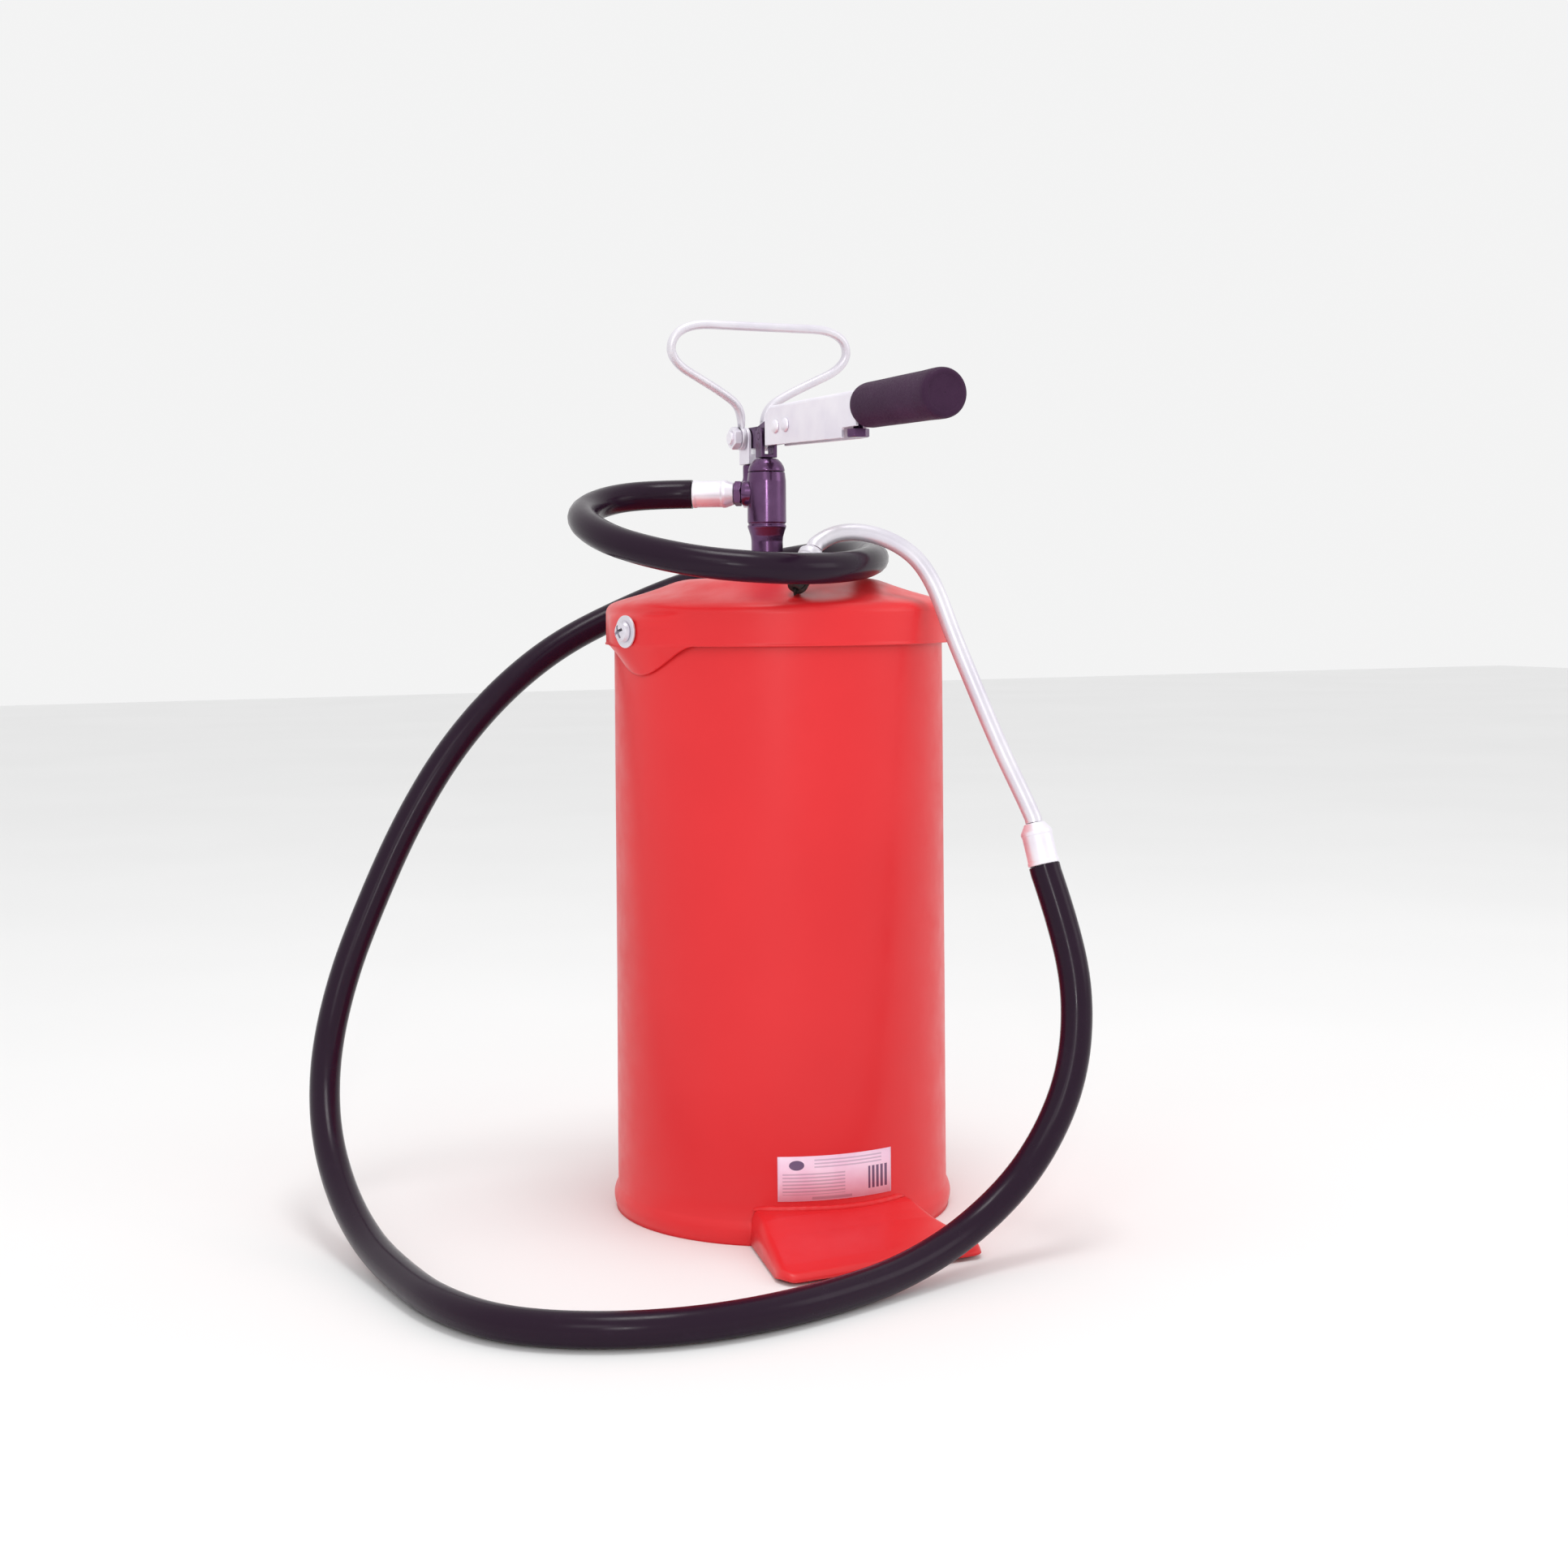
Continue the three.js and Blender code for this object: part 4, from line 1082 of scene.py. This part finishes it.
def carry_handle():
    """A bent rod: straight hand bar, round corners, legs flattened into eyes on the bolt."""
    route = HANDLE_HALF + [(22, 20.5, 535.9), (10, 20.5, 535.9), (0, 20.5, 535.9)]
    half = calmed(evenly(smooth_route(route, 300), 90), 6)
    centres = half[:-1] + [(-p[0], p[1], p[2]) for p in reversed(half)]

    def section(t):
        end = min(t, 1 - t)
        flat = max(0, 1 - end / 0.035)
        return [(a * (1 - 0.45 * flat), b * (1 + 0.35 * flat)) for a, b in circle(HANDLE_R, 24)]

    rod = sweep("carry_bail", centres, section, (1, 0, 0))
    inside, outside = 5.9, 9.0
    eyes = [ring_lathe("eye", box_outline(BOLT_BORE, low, 7.4, high), 64, FULCRUM_AXIS, 0.8)
            for low, high in ((inside, outside), (-outside, -inside))]
    cut(rod, cylinder("trim", 8.6, outside, 20, FULCRUM_AXIS),
        cylinder("trim", 8.6, -20, -outside, FULCRUM_AXIS),
        cylinder("bore", BOLT_BORE, -20, 20, FULCRUM_AXIS),
        prism("inner", box_outline(20, 450, 50, 478), -inside, inside, ACROSS_X))
    bail = joined("carry_bail_look", rod, *eyes)
    finished(bail, PAINTED_SHADE_ZINC, "handle", "zinc_plate", "carry_handle")


fulcrum_bracket()
fulcrum_bolt()
bracket_bolt()
carry_handle()

# ---- lever

LEVER_TRAVEL = math.radians(frame["joints"][0]["range_deg"][1])
ROD_TRAVEL = 25


def pin_place(angle):
    """Where the rod's pin lies in the lever's plane when the lever has turned by an angle."""
    out = FULCRUM_Y - PUMP_Y
    rise = ROD_TRAVEL * angle
    along = out * math.cos(angle) + rise * math.sin(angle)
    across = rise * math.cos(angle) - out * math.sin(angle)
    return Vector((FULCRUM_Y - along, FULCRUM_Z + across))


def pin_slot():
    """A cutter for the pin's slot: its path widened, without the folds of the tight start."""
    steps = 24
    width = 2.25
    small = 0.01
    angles = [LEVER_TRAVEL * i / steps for i in range(steps + 1)]
    path = [pin_place(angle) for angle in angles]
    above, below = [], []
    for angle, here in zip(angles, path):
        run = pin_place(angle + small) - pin_place(angle - small)
        side = Vector((run.y, -run.x)).normalized() * width
        above.append(here + side)
        below.append(here - side)

    def cap(centre, start):
        first = math.atan2(start.y - centre.y, start.x - centre.x)
        turns = [first + math.pi * i / 12 for i in range(1, 12)]
        return [centre + Vector((math.cos(t), math.sin(t))) * width for t in turns]

    around = above + cap(path[-1], above[-1]) + below[::-1] + cap(path[0], below[0])
    outline = [tuple(p) for p in around if min((p - c).length for c in path) > width * 0.985]
    return prism("slot", outline, -8, 8, ACROSS_X)


def lever_tongue():
    """The flat blade on the fulcrum bolt, thickened where the channel is riveted on."""
    side = arc(6.6, math.pi / 2, -math.pi, 24, (FULCRUM_Y, FULCRUM_Z))
    side += [(-4, 461.6), (-34, 461.6), (-34, 481), (-4, 481), (22, 474.3)]
    blade = prism("lever_blade", side, -2.6, 2.6, ACROSS_X)
    root = prism("root", box_outline(-36, 462, -8, 481), -5.4, 5.4, ACROSS_X)
    combine(blade, "UNION", root)
    cut(blade, cylinder("hole", BOLT_BORE, -9, 9, FULCRUM_AXIS), pin_slot())
    eased(blade, 0.45, 40, 3)
    # The zinc tongue gets the dark steel as painted shade.
    finished(blade, PAINTED_SHADE_STEEL, "lever", "zinc_plate", "lever_tongue")


def lever_channel():
    """Sheet folded into an upside-down channel with round folds and cut-back corners."""
    outer, low, top = 7.5, 455, 485
    gauge, fold = 1.8, 2.4
    inner = outer - gauge
    outline = rounded([(-outer, low), (-outer, top), (outer, top), (outer, low)], fold, 6)
    outline += rounded([(inner, low), (inner, top - gauge), (-inner, top - gauge),
                        (-inner, low)], fold - 1.2, 6)
    along_y = Matrix(((1, 0, 0, 0), (0, 0, 1, 0), (0, 1, 0, 0), (0, 0, 0, 1)))
    channel = prism("lever_bar", outline, -121.4, 1, along_y)
    corner = prism("corner", [(1.5, 478.5), (-7.5, 485.5), (-7.5, 495), (6, 495), (6, 478.5)],
                   -20, 20, ACROSS_X)
    notch = prism("notch", rounded([(-103.2, 440), (-103.2, 464.6), (-140, 464.6), (-140, 440)],
                                   2, 5), -20, 20, ACROSS_X)
    slope = prism("slope", [(10, 461.2), (-103.2, 458.8), (-103.2, 440), (10, 440)], -20, 20,
                  ACROSS_X)
    cut(channel, corner, notch, slope)
    eased(channel, 0.35, 40, 3)
    finished(channel, ZINC, "lever", "zinc_plate", "lever_channel")


def lever_rivets():
    profile = [(0, -9.7), (2.2, -9.5), (3.8, -8.7), (4.4, -7.7), (2.6, -7.4), (2.6, 7.4),
               (4.4, 7.7), (3.8, 8.7), (2.2, 9.5), (0, 9.7)]
    for i, y in enumerate((-15, -29)):
        rivet = lathe(f"lever_rivet_{i + 1}_look", rounded(profile, 0.3), 48, across_x(y, 471.5))
        finished(rivet, ZINC, "lever", "zinc_plate", f"lever_rivet_{i + 1}")


def lever_clamp():
    """The bolt under the channel that clamps the grip's core."""
    matrix = Matrix.Translation((0, -110, 0))
    low, high = 458.8, 463.7
    head = hex_head("clamp_head", 6.4, low, high, upside_down(matrix, low, high), 0.3)
    shank = cylinder("shank", 2.8, 463, 476.8, matrix, 32)
    bolt = joined("lever_clamp_look", head, shank)
    finished(bolt, BLUE, "lever", "blue_plate", "lever_bolt")


def grip():
    """A moulded sleeve that swells towards a round end with a dished disc."""
    profile = [(5.8, 0), (10.2, 0), (11.9, 0.9), (12.6, 2.4), (12.9, 5), (13.0, 20), (13.3, 45),
               (13.5, 70), (13.8, 82), (13.8, 85.5), (13.5, 88), (12.6, 89.4), (11.4, 89.9),
               (10.2, 89.6), (9.6, 89.1), (0, 89.0), (0, 84), (5.8, 84), (5.8, 0)]
    axis = aim((0, -122, GRIP_Z), (0, -1, 0))
    sleeve = lathe("grip_sleeve", rounded(profile[:-1], 0.8, 5) + [(5.8, 0)], 128, axis)
    finished(sleeve, GRIP_RUBBER, "lever", "grip_rubber", "grip")


lever_tongue()
lever_channel()
lever_rivets()
lever_clamp()
grip()

# ---- rod


def piston_rod():
    """The rod and the fork that carries the lever's pin."""
    bar = cylinder("rod_and_fork", 3.5, 326, 456, PUMP_AXIS, 64)
    half = 4.5
    side = [(PUMP_Y - half, 454.4), (PUMP_Y + half, 454.4)]
    side += arc(half, 0, math.pi, 20, (PUMP_Y, 468.5))
    combine(bar, "UNION", prism("fork", side, -5.3, 5.3, ACROSS_X))
    slot = prism("slot", box_outline(0, 456.6, 30, 490), -3, 3, ACROSS_X)
    hole_axis = across_x(PUMP_Y, FULCRUM_Z)
    cut(bar, slot, cylinder("hole", 2.1, -9, 9, hole_axis, 32))
    eased(bar, 0.4, 40, 3)
    finished(bar, PAINTED_SHADE_STEEL, "piston", "bare_steel", "piston_rod")
    pin = lathe("rod_pin_look", rounded([(0, -5.3), (2, -5.3), (2, 5.3), (0, 5.3)], 0.4), 40,
                hole_axis)
    finished(pin, PAINTED_SHADE_STEEL, "piston", "zinc_plate", "rod_pin")


piston_rod()

# ---- pieces kept from the CAD

KEPT = {
    "lid_gasket": FIBRE, "flange_gasket": FIBRE, "suction_tube": STEEL, "strainer": STEEL,
    "inlet_seat": STEEL, "inlet_ball": ZINC, "grip_core": STEEL, "piston": STEEL,
    "piston_seal": HOSE_RUBBER, "piston_nut": ZINC, "follower_plate": STEEL,
    "follower_seal": HOSE_RUBBER, "ear_nut_right": ZINC, "ear_nut_left": ZINC,
}


for kept_name, kept_material in KEPT.items():
    kept_mesh = frame["nodes"][kept_name].data
    kept_mesh.materials.clear()
    kept_mesh.materials.append(kept_material)

# ---- floor and light


def stage():
    """A pale seamless floor."""
    bpy.ops.mesh.primitive_plane_add(size=14, location=(0, 0, 0))
    floor = bpy.context.object
    floor.name = "floor"
    paint = Paint("floor", 0.7)
    paint.colour(paint.ramp(paint.noise(2, 2), (0.86, 0.86, 0.86), (0.88, 0.88, 0.88)))
    floor.data.materials.append(paint.material)


def area_light(name, place_at, size, power, target=(0, 0.05, 0.25), height=None):
    """A square light, or a rectangle where a height is given, turned to its target; metres."""
    data = bpy.data.lights.new(name, "AREA")
    data.energy = power
    data.size = size
    if height:
        data.shape = "RECTANGLE"
        data.size_y = height
    light = linked(name, data)
    light.location = place_at
    way = Vector(target) - Vector(place_at)
    light.rotation_euler = way.to_track_quat("-Z", "Y").to_euler()


def add_light():
    """Soft lights before, beside and above, one narrow light for the metal, a white surround."""
    area_light("key", (-1.3, -1.7, 1.5), 0.7, 3.5)
    area_light("glint", (-0.64, -1.32, 0.58), 0.06, 2.2, (0, 0.05, 0.43), 0.14)
    area_light("fill", (1.7, -1.2, 1.0), 0.9, 4)
    area_light("top", (-0.1, -0.3, 2.2), 0.6, 11.5)
    world = bpy.data.worlds.new("studio")
    bpy.context.scene.world = world
    world.use_nodes = True
    background = world.node_tree.nodes["Background"]
    background.inputs["Color"].default_value = (1, 1, 1, 1)
    background.inputs["Strength"].default_value = 0.90
    view = bpy.context.scene.view_settings
    view.view_transform = "Standard"
    view.look = "None"


stage()
add_light()
